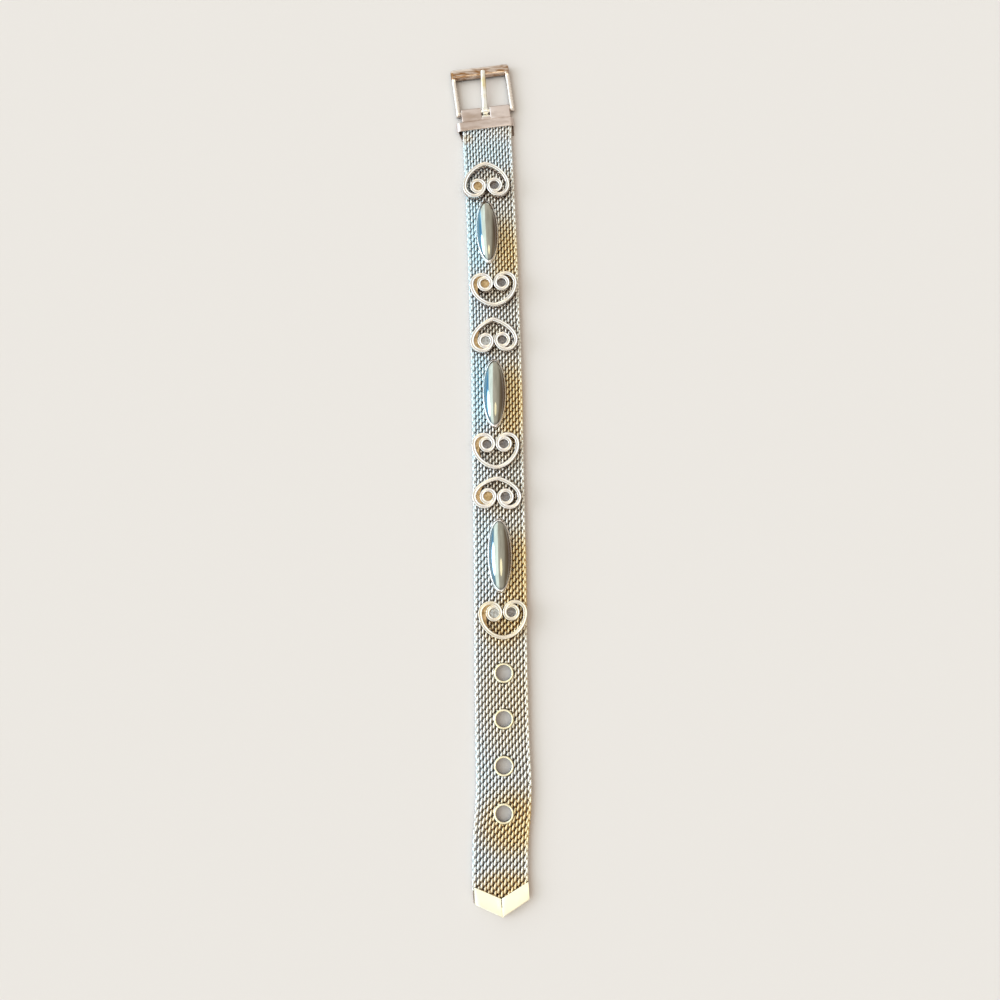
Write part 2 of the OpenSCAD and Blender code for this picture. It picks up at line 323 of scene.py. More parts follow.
@dataclass
class Place:
    """A local frame on the table: an origin and the direction of its x axis."""

    origin: Array
    along: Array

    @property
    def side(self) -> Array:
        """Direction of the place's y axis."""
        return np.array([-self.along[1], self.along[0]])

    def out(self, points: Array) -> Array:
        """Points of this place brought to the model's frame."""
        flat = self.origin[:2] + points[..., :1] * self.along + points[..., 1:2] * self.side
        return np.concatenate([flat, points[..., 2:]], -1)

    def local(self, points: Array) -> Array:
        """Points of the model's frame brought to this place."""
        d = points[..., :2] - self.origin[:2]
        return np.stack([d @ self.along, d @ self.side, points[..., 2]], -1)


def turned(angle: float, centre: Pair = (0.0, 0.0)) -> Place:
    """A place at centre, turned by an angle in degrees."""
    a = math.radians(angle)
    return Place(np.array([centre[0], centre[1], 0.0]), np.array([math.cos(a), math.sin(a)]))


def on_node(shape: Shape, name: str) -> Shape:
    """Move a shape so that the middle of its outline, and its lowest point, match a CAD node's.

    Args:
        shape: the shape, anywhere.
        name: the CAD node's name.

    Returns:
        The shape in its place.
    """
    want = node_points(name)
    have = shape.points
    mid = (want.min(0) + want.max(0)) / 2 - (have.min(0) + have.max(0)) / 2
    mid[2] = want[:, 2].min() - have[:, 2].min()
    return shape.mapped(have + mid)


# Finishes

# The span that the values of a cloud noise mostly fill
CLOUD = (0.3, 0.7)


def start(name: str, metallic: float = 1.0) -> tuple[Material, Tree, bpy.types.Node, Socket]:
    """Begin a material.

    Args:
        name: the material's name.
        metallic: 1 for a metal, 0 for a paint.

    Returns:
        The material, its node tree, its shader and its Object coordinates.
    """
    material = bpy.data.materials.new(name)
    material.use_nodes = True
    tree = material.node_tree
    shader = tree.nodes["Principled BSDF"]
    shader.inputs["Metallic"].default_value = metallic
    return material, tree, shader, put(tree, "TexCoord").outputs["Object"]


def stretched(tree: Tree, place: Socket, scale: Triple) -> Socket:
    """Coordinates scaled along each axis: a pattern is drawn out along the smallest scale."""
    return put(tree, "Mapping", {"Vector": place, "Scale": scale}).outputs["Vector"]


def noise(tree: Tree, place: Socket, size_mm: float, detail: float) -> Socket:
    """Cloud noise whose clouds are size_mm across."""
    return put(tree, "TexNoise", {
        "Vector": place, "Scale": 1 / (size_mm * MM), "Detail": detail}).outputs["Fac"]


def rescale(tree: Tree, value: Socket, span: Pair, to: Pair = (0.0, 1.0),
            kind: str = "LINEAR") -> Socket:
    """A value brought from one span to another, and kept inside it.

    Args:
        tree: the node tree.
        value: the value.
        span: the span that it comes from.
        to: the span that it is brought to.
        kind: LINEAR, or SMOOTHSTEP for soft ends.

    Returns:
        The new value.
    """
    return put(tree, "MapRange", {
        "Value": value, "From Min": span[0], "From Max": span[1], "To Min": to[0], "To Max": to[1]},
        interpolation_type=kind).outputs["Result"]


def mix(tree: Tree, share: Socket, first: Socket | tuple, second: Socket | tuple) -> Socket:
    """Blend of two colours, the first at a share of 0 and the second at 1."""
    node = put(tree, "Mix", {"Factor": share, "A": first, "B": second}, data_type="RGBA")
    return node.outputs["Result"]


def height(tree: Tree, place: Socket) -> Socket:
    """Height above the floor."""
    return put(tree, "SeparateXYZ", {"Vector": place}).outputs["Z"]


def own_tone(tree: Tree) -> Socket:
    """The attribute tone of a piece's points."""
    return put(tree, "Attribute", attribute_name="tone").outputs["Fac"]


def in_metres(span_mm: Pair) -> Pair:
    """A span in millimetres, in metres."""
    return span_mm[0] * MM, span_mm[1] * MM


@dataclass(frozen=True)
class PlatedMetal:
    """Silver-coloured plating over brass, drawn, rolled or polished.

    The plating gives a nearly white mirror. Handling leaves it a little rougher in patches and
    warmer where it is thin, and fine scratches run along the part. A piece's own attribute tone
    adds to the wear share, and on the clamp and the tongue it carries painted highlight, shade and
    reflection. Towards its foot a piece takes a darker foot colour: painted shade on the hearts,
    eyelets and buckle, and a darker bottom on the clamp and the tip.
    """

    name: str
    bright: str
    worn: str
    roughness: float = 0.18
    roughness_spread: float = 0.08
    wear_mm: float = 2.5
    wear: float = 0.5
    stretch: Triple = (1.0, 1.0, 1.0)
    scratch_mm: float = 0.12
    scratch: float = 0.15
    scratch_dir: Triple = (1.0, 0.12, 1.0)
    foot: str = ""
    foot_mm: Pair = (2.0, 3.3)
    worn_span: Pair = (0.42, 0.7)
    scratch_depth: float = 0.2

    def build(self) -> Material:
        """Make the material.

        Returns:
            The material.
        """
        material, tree, shader, place = start(self.name)
        cloud = noise(tree, stretched(tree, place, self.stretch), self.wear_mm, 3.0)
        patchy = rescale(tree, cloud, self.worn_span, (0.0, self.wear))
        worn = put(tree, "Math", {0: patchy, 1: own_tone(tree)}, operation="ADD", use_clamp=True)
        colour = mix(tree, worn.outputs[0], linear(self.bright), linear(self.worn))
        # Darker towards the foot: painted shade low on the hearts, eyelets and buckle
        if self.foot:
            mix_share = rescale(tree, height(tree, place), in_metres(self.foot_mm), kind="SMOOTHSTEP")
            colour = mix(tree, mix_share, linear(self.foot), colour)
        tree.links.new(colour, shader.inputs["Base Color"])
        roughest = self.roughness + self.roughness_spread
        rough = rescale(tree, cloud, CLOUD, (self.roughness, roughest))
        tree.links.new(rough, shader.inputs["Roughness"])
        lines = noise(tree, stretched(tree, place, self.scratch_dir), self.scratch_mm, 2.0)
        bump = put(tree, "Bump", {"Height": lines, "Strength": self.scratch,
                                  "Distance": self.scratch_mm * MM * self.scratch_depth})
        tree.links.new(bump.outputs["Normal"], shader.inputs["Normal"])
        return material


@dataclass(frozen=True)
class Solder(PlatedMetal):
    """Soft solder or gilt filler, left lumpy as it set."""

    roughness_spread: float = 0.12
    wear: float = 0.9
    scratch_mm: float = 0.8
    scratch: float = 0.9
    scratch_dir: Triple = (1.0, 1.0, 1.0)


@dataclass(frozen=True)
class WovenWire:
    """Drawn plated wire, coiled flat and woven: one colour on its crowns, another in its depth.

    Towards the middle of the weave the wire takes the deep colours, near the crowns' brightness
    and brighter in the cool tone: painted light in the shaded gaps. The attribute tone in the mesh
    makes it cooler or brassier in places: mostly painted reflection, partly plating tone.
    """

    name: str = "woven_plated_wire"
    crown: tuple[str, str, str] = ("c8e4ee", "dedddb", "dcc599")
    deep: tuple[str, str, str] = ("e8f8ff", "dad8d6", "dfb266")
    stops: Triple = (0.0, 0.5, 1.0)
    roughness: Pair = (0.25, 0.4)
    middle_mm: float = 1.05
    deep_span_mm: Pair = (0.1, 0.7)
    grain_mm: float = 0.35

    def build(self) -> Material:
        """Make the material.

        Returns:
            The material.
        """
        material, tree, shader, place = start(self.name)
        middle = self.middle_mm * MM
        away = put(tree, "Math", {0: height(tree, place), 1: middle}, operation="SUBTRACT")
        away = put(tree, "Math", {0: away.outputs[0]}, operation="ABSOLUTE").outputs[0]
        # Near the middle depth the wire takes the deep colours: painted light in the shaded gaps of
        # the weave
        mix_share = rescale(tree, away, in_metres(self.deep_span_mm), kind="SMOOTHSTEP")
        tone = rescale(tree, own_tone(tree), (-1.0, 1.0))
        crown = ramp(tree, tone, list(zip(self.stops, self.crown)))
        deep = ramp(tree, tone, list(zip(self.stops, self.deep)))
        tree.links.new(mix(tree, mix_share, deep, crown), shader.inputs["Base Color"])
        rough = rescale(tree, noise(tree, place, self.grain_mm, 2.0), CLOUD, self.roughness)
        tree.links.new(rough, shader.inputs["Roughness"])
        return material


@dataclass(frozen=True)
class PolishedStone:
    """Hematite, cut as a long cabochon and polished to a dark metallic mirror with faint streaks.

    Its flanks are painted with reflections: blue on the left and brown on the right. The mesh
    holds how far a point is towards the right flank, from -1 to 1, as the attribute tone. Low on
    the stone, next to the bezel, a dark rim is painted shade.
    """

    name: str = "polished_hematite"
    colour: str = "b4b2a6"
    streak: str = "9e9c90"
    blue_reflection: str = "7ca5b9"
    brown_reflection: str = "74675f"
    brown_reflection_span: Pair = (0.46, 0.74)
    rim: str = "4c4d52"
    shade_rim_mm: Pair = (2.6, 3.0)
    shade_rim_clear: float = 0.35
    streak_mm: float = 0.8
    streak_dir: Triple = (1.0, 0.15, 1.0)
    streak_span: Pair = (0.35, 0.7)
    roughness: Pair = (0.07, 0.13)

    def build(self) -> Material:
        """Make the material.

        Returns:
            The material.
        """
        material, tree, shader, place = start(self.name)
        cloud = noise(tree, stretched(tree, place, self.streak_dir), self.streak_mm, 4.0)
        colour = ramp(tree, cloud, list(zip(self.streak_span, (self.colour, self.streak))))
        own = own_tone(tree)
        # Painted reflections on the flanks: blue on the left, brown on the right
        for tint, span in ((self.blue_reflection, BLUE_REFLECTION_SPAN), (self.brown_reflection, self.brown_reflection_span)):
            colour = mix(tree, rescale(tree, own, span), colour, linear(tint))
        # A dark rim low on the stone: painted shade next to the bezel
        clear = rescale(tree, height(tree, place), in_metres(self.shade_rim_mm), (self.shade_rim_clear, 1.0))
        tree.links.new(mix(tree, clear, linear(self.rim), colour), shader.inputs["Base Color"])
        tree.links.new(rescale(tree, cloud, CLOUD, self.roughness), shader.inputs["Roughness"])
        return material


@dataclass(frozen=True)
class PaleBoard:
    """Matt painted board, the plain floor."""

    name: str = "matt_pale_board"
    colour: str = "d6ccc6"
    roughness: float = 0.9
    gloss: float = 0.1

    def build(self) -> Material:
        """Make the material.

        Returns:
            The material.
        """
        material, _, shader, _ = start(self.name, 0.0)
        shader.inputs["Base Color"].default_value = linear(self.colour)
        shader.inputs["Roughness"].default_value = self.roughness
        shader.inputs["Specular IOR Level"].default_value = self.gloss
        return material


class Finish(Enum):
    """Every finish of the bracelet, by its recipe."""

    # Drawn wire, coiled, woven and silver plated
    WIRE = WovenWire()
    # Flat wire, bent to scrolls and plated; darker low on its walls: painted shade
    HEART = PlatedMetal("polished_silver_ribbon", "e4ddd9", "ddceb0", 0.24, wear_mm=1.6,
                        foot="8a6c5c")
    # Thin strip, set round a stone and burnished over it
    SETTING = PlatedMetal("polished_silver_bezel", "f6f2ee", "e6d2c8", 0.15, wear_mm=1.5, wear=0.6)
    # Eyelet pressed from gilt brass, darker below its upper collar: painted shade in its bore and
    # on its walls
    EYELET = PlatedMetal("pressed_gilt_eyelet", "f2ead0", "dccb9c", 0.2, 0.1, wear_mm=1.2, wear=0.8,
                         foot="544a54", foot_mm=(1.5, 1.9))
    # Rolled sheet with a satin grain along the clamp
    CLAMP = PlatedMetal("satin_rolled_clamp", "decec6", "b6a092", 0.3, 0.1, wear_mm=1.6, wear=0.8,
                        stretch=(0.3, 1.0, 1.0), scratch_mm=0.1, scratch_dir=(0.15, 1.0, 1.0),
                        foot="6e5c50", foot_mm=(0.4, 0.9))
    # Bright rolled sheet, folded over the strap's end
    TIP = PlatedMetal("bright_rolled_tip", "f4edd8", "ebe0c6", 0.3, wear_mm=3.0, wear=0.3,
                      scratch_mm=0.1, scratch=0.08, foot="a88673", foot_mm=(0.3, 0.9))
    # Cast brass whose plating has worn through on the cross bar; darker low on rails and bar:
    # painted shade that outlines them
    BUCKLE = PlatedMetal("worn_plated_buckle", "efe4da", "976c44", 0.2, 0.14, wear_mm=0.6, wear=0.9,
                         stretch=(0.2, 1.0, 1.0), scratch_mm=0.1, scratch=0.12,
                         scratch_dir=(0.12, 1.0, 1.0), foot="77716c", foot_mm=(0.6, 1.5))
    # Drawn wire, plated and polished
    TONGUE = PlatedMetal("polished_drawn_tongue", "f8f6f1", "e6d3a4", 0.15, wear_mm=1.5, wear=0.3)
    # Gilt filler and solder left in the hearts, and a low dark pool: painted shade in their rings
    GILT = Solder("gilt_solder_fillet", "c5a67c", "95784c", 0.34, wear_mm=0.9)
    SOLDER = Solder("grey_solder_fillet", "b9b7b3", "8f8a86", 0.36, wear_mm=0.6)
    FLUX = Solder("painted_shade_pool", "86807e", "5f5855", 0.32, wear_mm=0.5, scratch_mm=0.9,
                  scratch=1.0)
    # Hematite, polished
    STONE = PolishedStone()

    def material(self) -> Material:
        """The finish's material, built when it is first asked for."""
        return bpy.data.materials.get(self.value.name) or self.value.build()


def make(name: str, shape: Shape, finish: Finish, *stands_for: str, body: Body = Body.BAND,
         slot: Slot = Slot.BRIGHT, sharp: float | None = 40.0, tone: Array | None = None) -> None:
    """Put a shape into the scene as a finished piece.

    Args:
        name: the piece's name.
        shape: its points and faces.
        finish: its finish.
        *stands_for: CAD nodes that it replaces.
        body: the body that it rides on.
        slot: the record's slot that its finish comes from; not used.
        sharp: edges that turn by more than this many degrees stay sharp; None smooths all.
        tone: a shift of the finish for each point, kept as the attribute tone.
    """
    mesh = bpy.data.meshes.new(name)
    mesh.from_pydata((shape.points * MM).tolist(), [], [q for f in shape.faces for q in f.tolist()])
    mesh.shade_smooth()
    if tone is not None:
        held = mesh.attributes.new("tone", "FLOAT", "POINT")
        held.data.foreach_set("value", tone.astype(np.float32))
    if sharp is not None:
        mesh.set_sharp_from_angle(angle=math.radians(sharp))
    mesh.materials.append(finish.material())
    piece = bpy.data.objects.new(name, mesh)
    bpy.context.scene.collection.objects.link(piece)
    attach(piece, body.value)
    if stands_for:
        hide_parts(*stands_for)
    LOG.info("%s: %d faces", name, len(mesh.polygons))


# The strap


@dataclass(frozen=True)
class Patch:
    """A patch of painted reflection on the weave, partly plating tone: warm above 0, cool below it.

    Its middle is y mm along the strap and x, a share of the strap's half width, aside.
    """

    y: float
    x: float
    long: float
    wide: float
    tone: float


# Patches of painted warm and cool reflection on the weave, partly plating tone
REFLECTION_PATCHES = [
    Patch(92.5, -0.85, 1.8, 0.3, 0.75), Patch(88, 0.5, 5, 0.8, -0.4),
    Patch(78, -0.1, 5, 0.7, 0.35), Patch(58.5, 0.52, 10, 0.52, 0.85),
    Patch(63, -0.5, 12, 0.4, -0.45), Patch(49, -0.2, 6, 0.7, 0.4),
    Patch(34, -0.3, 6, 0.7, 0.4), Patch(16, 0.56, 11, 0.56, 0.9),
    Patch(19, -0.5, 12, 0.4, -0.5), Patch(4, 0.0, 6, 0.8, 0.45),
    Patch(-10, 0.0, 6, 0.8, 0.4), Patch(-31, 0.7, 11.5, 0.7, 1.0),
    Patch(-24, -0.4, 11, 0.4, -0.15), Patch(-43, 0.0, 6, 0.9, 0.75),
    Patch(-61, 0.0, 16, 1.0, 0.45), Patch(-93, 0.25, 8, 1.15, 0.95),
    Patch(-108.5, 0.1, 4.5, 1.1, 0.85),
]


@dataclass
class StrapWeave:
    """Woven strap: flattened coils of wire across the band, each hooked through the next.

    A row is one coil. Along it the wire turns by an angle f: it moves up the band by
    reach * sin f, through the strap by depth * cos f flattened to a power, and across in step with
    f, less the sum of sway * sin 2f, 4f and 6f. That takes most of the move to the bends, so that
    the crowns stand nearly along the band, by the share upright at each y; towards the tip they
    lean more. Neighbouring rows stand half a turn apart, and a bent link joins each pair of rows
    at both edges. A link turns by link_turn degrees to each side, up the band by link_reach of a
    row's pitch, outwards by link_bulge and upwards by link_rise.
    """

    wire_w: float = 0.63
    wire_t: float = 0.44
    row_pitch: float = 0.955
    columns: int = 16
    edge: float = 0.42
    reach: float = 0.79
    sway: Triple = (0.19, -0.06, 0.015)
    upright_y: tuple[float, ...] = (-100, -60, -20, 50)
    upright: tuple[float, ...] = (0.68, 0.75, 0.85, 1.0)
    flatness: float = 0.42
    segments: int = 14
    sides: int = 8
    squeeze: float = 0.8
    grip: float = 1.2
    hole_r: float = 2.38
    skew_run: Pair = (30.0, 4.0)
    clamp_pinch: Pair = (0.3, 3.3)
    tip_pinch: Pair = (-0.2, 2.2)
    link_w: float = 0.62
    link_points: int = 11
    link_turn: float = 115.0
    link_reach: float = 0.46
    link_bulge: float = 0.45
    link_rise: float = 0.22
    link_tilt: float = 0.6
    full_width: float = 0.93
    tint: float = 0.02
    tint_rise: float = 0.22
    tint_left: float = 0.3

    def edges(self) -> tuple[Array, Array, Array]:
        """Read the outline of the CAD strap where it has its full width.

        Returns:
            Places along the strap, with its middle and its half width at each.
        """
        pts = node_points("strap")
        ys = np.unique(np.round(pts[:, 1], 3))
        low = np.array([pts[np.abs(pts[:, 1] - y) < 0.002, 0].min() for y in ys])
        high = np.array([pts[np.abs(pts[:, 1] - y) < 0.002, 0].max() for y in ys])
        wide = high - low > self.full_width * (high - low).max()
        return ys[wide], (low + high)[wide] / 2, (high - low)[wide] / 2

    def rows(self) -> tuple[Array, Array]:
        """Spread the rows along the strap.

        Returns:
            Middle of each row along the strap, and the row's lean there.
        """
        ys, mids, _ = self.edges()
        low, high = box_mm("strap")
        centre = np.arange(low[1] - self.row_pitch, high[1] + self.row_pitch, self.row_pitch)
        lean = np.interp(centre, ys, -np.gradient(mids, ys))
        clamp_y = ys.max()
        skew = pivot_place().along[1] / pivot_place().along[0]
        far, near = clamp_y - self.skew_run[0], clamp_y - self.skew_run[1]
        return centre, lean + (skew - lean) * smooth_step(centre, far, near)

    def coils(self) -> tuple[Array, Array]:
        """Middle line of every row's wire, and the way out of its coil.

        Returns:
            Points and outward vectors, both as (row, point, xyz).
        """
        ys, mids, halves = self.edges()
        centre, lean = (v[:, None] for v in self.rows())
        odd = (np.arange(len(centre)) % 2)[:, None]
        count = (self.columns + 2) * self.segments // 2 + 1
        half_turns = np.linspace(-1.0, self.columns + 1.0, count)[None]
        f = math.pi * (half_turns - 0.5 + odd)
        half = np.interp(centre, ys, halves) - self.edge
        inside = (half_turns > 0) & (half_turns < self.columns)
        across = (np.clip(half_turns, 0, self.columns) / self.columns * 2 - 1) * half
        sway = sum(v * np.sin(k * f) for v, k in zip(self.sway, (2, 4, 6)))
        across = across - sway * inside * np.interp(centre, self.upright_y, self.upright)
        y = centre + lean * across + self.reach * np.sin(f)
        x = np.interp(y, ys, mids) + across
        depth = self.depth(x, y)
        side, turn = np.sign(np.cos(f)), np.abs(np.cos(f))
        flat = turn ** self.flatness * side
        out_z = side * turn ** (2 - self.flatness) / self.flatness / depth
        out = np.stack([np.zeros_like(f), np.sin(f) / self.reach, out_z], -1)
        return np.stack([x, y, self.mid_z() + depth * flat], -1), unit(out)

    def mid_z(self) -> float:
        """Middle height of the strap."""
        return sum(box_mm("strap"))[2] / 2

    def depth(self, x: Array, y: Array) -> Array:
        """Half depth of the coils, squeezed where the clamp and the tip pinch the strap.

        Args:
            x: places across the band.
            y: places along it.

        Returns:
            Half depth at each place.
        """
        half = self.mid_z() - box_mm("strap")[0][2]
        full, pinched = half - self.wire_t / 2, self.squeeze * half - self.wire_t / 2
        points = np.stack([x, y, np.zeros_like(x)], -1)
        clear = -pivot_place().local(points)[..., 1] - CLAMP.jaw_y - CLAMP.lip_depth
        open_share = smooth_step(clear, *self.clamp_pinch)
        open_share = open_share * smooth_step(TIP.clear(points), *self.tip_pinch)
        return pinched + (full - pinched) * open_share

    def shows(self, points: Array) -> Array:
        """Where the wire shows: outside the eyelets, and no deeper than its grip in clamp and tip.

        Args:
            points: places on the wire.

        Returns:
            True for each place that shows.
        """
        gone = -pivot_place().local(points)[..., 1] < CLAMP.jaw_y - self.grip
        gone |= TIP.clear(points) < -self.grip
        for number in EYELETS:
            d = points[..., :2] - sum(box_mm(f"eyelet_{number}"))[:2] / 2
            gone |= np.hypot(d[..., 0], d[..., 1]) < self.hole_r
        return ~gone

    def links(self) -> tuple[Array, Array, Array]:
        """Bent wires that join each pair of rows at the two edges.

        Returns:
            Middle lines and outward vectors as (link, point, xyz), and whether each link shows.
        """
        ys, mids, halves = self.edges()
        centre, lean = self.rows()
        pairs = centre[:-1:2] + self.row_pitch / 2
        a = np.radians(np.linspace(-self.link_turn, self.link_turn, self.link_points))[None]
        lines, outs = [], []
        for side in (-1, 1):
            half = np.interp(pairs, ys, halves)[:, None] - self.link_w / 2
            along = pairs[:, None] + lean[:-1:2, None] * side * half
            y = along + self.link_reach * self.row_pitch * np.sin(a)
            x = np.interp(along, ys, mids) + side * (half - self.link_bulge * (1 - np.cos(a)))
            z = self.mid_z() + self.link_rise * np.cos(a)
            lines.append(np.stack(np.broadcast_arrays(x, y, z), -1))
            out = np.broadcast_arrays(side * np.cos(a), np.sin(a), self.link_tilt, x)[:3]
            outs.append(np.stack(out, -1))
        line, out = np.concatenate(lines), np.concatenate(outs)
        return line, unit(out), self.shows(line[:, self.link_points // 2])

    def skin(self, line: Array, out: Array, show: Array, wide: float, thick: float) -> Shape:
        """Rings of an oval section along wires, with the shown stretches skinned and capped.

        Args:
            line: middle lines as (wire, point, xyz).
            out: outward vectors as (wire, point, xyz).
            show: (wire, point), true where the wire shows.
            wide: width of the section.
            thick: thickness of the section, along out.

        Returns:
            The wires.
        """
        run = unit(np.gradient(line, axis=1))
        out = unit(out - (out * run).sum(-1, keepdims=True) * run)
        other = np.cross(run, out)
        a = (np.arange(self.sides) + 0.5) / self.sides * 2 * math.pi
        a = a[None, None, :, None]
        out, other = out[:, :, None], other[:, :, None]
        rings = line[:, :, None] + thick / 2 * np.cos(a) * out + wide / 2 * np.sin(a) * other
        wires, count = line.shape[:2]
        both = show[:, :-1] & show[:, 1:]
        first = (np.arange(wires)[:, None] * count + np.arange(count)[None]) * self.sides
        side = np.arange(self.sides)
        near, after = first[:, :-1][both][:, None], (side + 1) % self.sides
        far = near + self.sides
        wall = np.stack([near + side, near + after, far + after, far + side], -1)
        pad = np.zeros((wires, 1), bool)
        before, following = np.concatenate([pad, both], 1), np.concatenate([both, pad], 1)
        begins, ends = first[following & ~before], first[before & ~following]
        caps = np.concatenate([begins[:, None] + side[::-1], ends[:, None] + side])
        used, where = np.unique(np.concatenate([wall.ravel(), caps.ravel()]), return_inverse=True)
        return Shape(rings.reshape(-1, 3)[used],
                     [where[:wall.size].reshape(-1, 4), where[wall.size:].reshape(-1, self.sides)])

    def build(self) -> None:
        """Skin the coils in a few pieces and the edge links in one, each with its reflection tone.
        """
        line, out = self.coils()
        show = self.shows(line)
        names = ["weave_tip_end", "weave_middle", "weave_buckle_end"]
        for name, rows in zip(names, np.array_split(np.arange(len(line)), len(names))):
            self.place(name, self.skin(line[rows], out[rows], show[rows], self.wire_w, self.wire_t))
        line, out, show = self.links()
        show = np.repeat(show[:, None], self.link_points, 1)
        self.place("weave_edges", self.skin(line, out, show, self.link_w, self.wire_w))

    def place(self, name: str, shape: Shape) -> None:
        """Put wires into the scene, with their tone as an attribute."""
        tone = self.tone(shape.points)
        make(name, shape, Finish.WIRE, "strap", slot=Slot.WOVEN, sharp=None, tone=tone)

    def tone(self, points: Array) -> Array:
        """Tone of the wire: -1 is cool, 0 neutral and 1 brassy.

        It stands mostly for painted reflection and partly for plating tone. It rises from the left
        edge to the right, as painted reflection of a cool window on the left and a warm room on the
        right, faster on the left half nearer the buckle, and each patch adds its tone times
        exp(-d^4), where d is the distance from its middle in its own length and width.

        Args:
            points: the wires' points.

        Returns:
            Tone of each point.
        """
        ys, mids, halves = self.edges()
        x, y = points[:, 0], points[:, 1]
        u = (x - np.interp(y, ys, mids)) / np.interp(y, ys, halves)
        value = self.tint + self.tint_rise * u + self.tint_left * (y > 0) * np.minimum(u, 0)
        for patch in REFLECTION_PATCHES:
            d = ((y - patch.y) / patch.long) ** 2 + ((u - patch.x) / patch.wide) ** 2
            value += patch.tone * np.exp(-d * d)
        return np.clip(value, -1, 1)


# Places that several pieces share


def pivot_place() -> Place:
    """The pivot's frame, read from its joint.

    Returns:
        A place with x along the bar and y towards the buckle's cross bar.
    """
    joint = frame["joints"][0]
    axis = np.array(joint["axis"][:2])
    return Place(np.array(joint["pos_m"]) / MM, axis / np.linalg.norm(axis))


def spread(name: str) -> tuple[Array, Array]:
    """Lowest and highest corner of a CAD node in the pivot's frame."""
    local = pivot_place().local(node_points(name))
    return local.min(0), local.max(0)


@dataclass
class FoldedTip:
    """Sheet folded over the end of the strap, cut to a point, with an open seam in front.

    Each half is a straight folded sheet, sheared so that its lower edge rises by slope and its
    upper edge by notch, in degrees. The front sheet stops a step short of the back one at the left.
    """

    turn: float = 4.5
    slope: float = 28.0
    notch: float = 26.5
    depth: float = 4.5
    width: float = 14.0
    step: float = 0.5
    sheet: float = 0.4
    fold: float = 0.6
    seam: float = 0.16
    seam_len: float = 2.1
    seam_sunk: float = 0.05
    seam_back: float = 0.02
    soften: float = 0.1
    edge_r: float = 0.12
    fold_r: float = 0.35
    inner_r: float = 0.1

    def place(self) -> Place:
        """The tip's own frame.

        Returns:
            A place with its origin at the point.
        """
        pts = node_points("strap_tip")
        low = pts[pts[:, 1].argmin()]
        return turned(self.turn, (low[0], low[1]))

    def clear(self, points: Array) -> Array:
        """How far points lie up the strap from the tip's upper edge."""
        p = self.place().local(points)
        return p[..., 1] - math.tan(math.radians(self.notch)) * np.abs(p[..., 0]) - self.depth

    def half(self, low: float, high: float, tall: float) -> Shape:
        """One side of the tip: a folded sheet, sheared to the point's slopes.

        Args:
            low: lower x of the side.
            high: upper x of the side.
            tall: height of the folded sheet.

        Returns:
            The side in the tip's own frame.
        """
        t, d = self.sheet, self.depth
        edge, fold, inner = self.edge_r, self.fold_r, self.inner_r
        outline = rounded(
            [(d, tall), (0, tall), (0, 0), (d, 0), (d, t), (self.fold, t), (self.fold, tall - t),
             (d, tall - t)], [edge, fold, fold, edge, edge, inner, inner, edge])
        shape = prism(outline, low, high, self.soften, middle=4)
        p = shape.points.copy()
        p[:, 0] += self.step * (p[:, 2] > t + 0.01) * np.clip(-2 * p[:, 0] / self.width, 0, 1)
        share = np.clip(p[:, 1] / d, 0, 1)
        lower, upper = (math.tan(math.radians(v)) for v in (self.slope, self.notch))
        p[:, 1] += (lower + (upper - lower) * share) * np.abs(p[:, 0])
        return shape.mapped(p)

    def build(self) -> None:
        """Make both halves, with the filled stretch of the seam between them."""
        low, high = box_mm("strap_tip")
        tall = high[2] - low[2]
        left = self.half(-self.width / 2, -self.seam / 2, tall)
        right = self.half(self.seam / 2, self.width / 2, tall)
        front, back = self.seam_back, self.depth - self.seam_len
        under, over = self.seam_sunk, tall - self.seam_sunk
        section = [(back, over), (front, over), (front, under), (back, under)]
        section = rounded(section, self.inner_r)
        fill = prism(section, -self.seam, self.seam, self.seam_back)
        both = left.plus(right).plus(fill)
        both = both.mapped(self.place().out(both.points))
        make("folded_tip", both, Finish.TIP, "strap_tip", slot=Slot.SHEET)


TIP = FoldedTip()


# Ornaments


class Eye(Enum):
    """Solder, and the low dark pool of painted shade, that stand in a ring of a heart, by finish
    and height.
    """

    # A low dark pool: painted shade over the weave inside the ring
    DARK = (Finish.FLUX, 0.7)
    GILT = (Finish.GILT, 1.3)
    GREY = (Finish.SOLDER, 1.3)


def arc(cx: float, r: float, start: float, end: float, n: int) -> Array:
    """Points on an arc, without its last one.

    Args:
        cx: x of the arc's centre, which is at y 0.
        r: the arc's radius.
        start: angle of the first point, in degrees.
        end: angle where the arc ends, in degrees.
        n: number of points.

    Returns:
        Points as (n, 2).
    """
    t = np.radians(np.linspace(start, end, n, endpoint=False))
    return np.stack([cx + r * np.cos(t), r * np.sin(t)], -1)


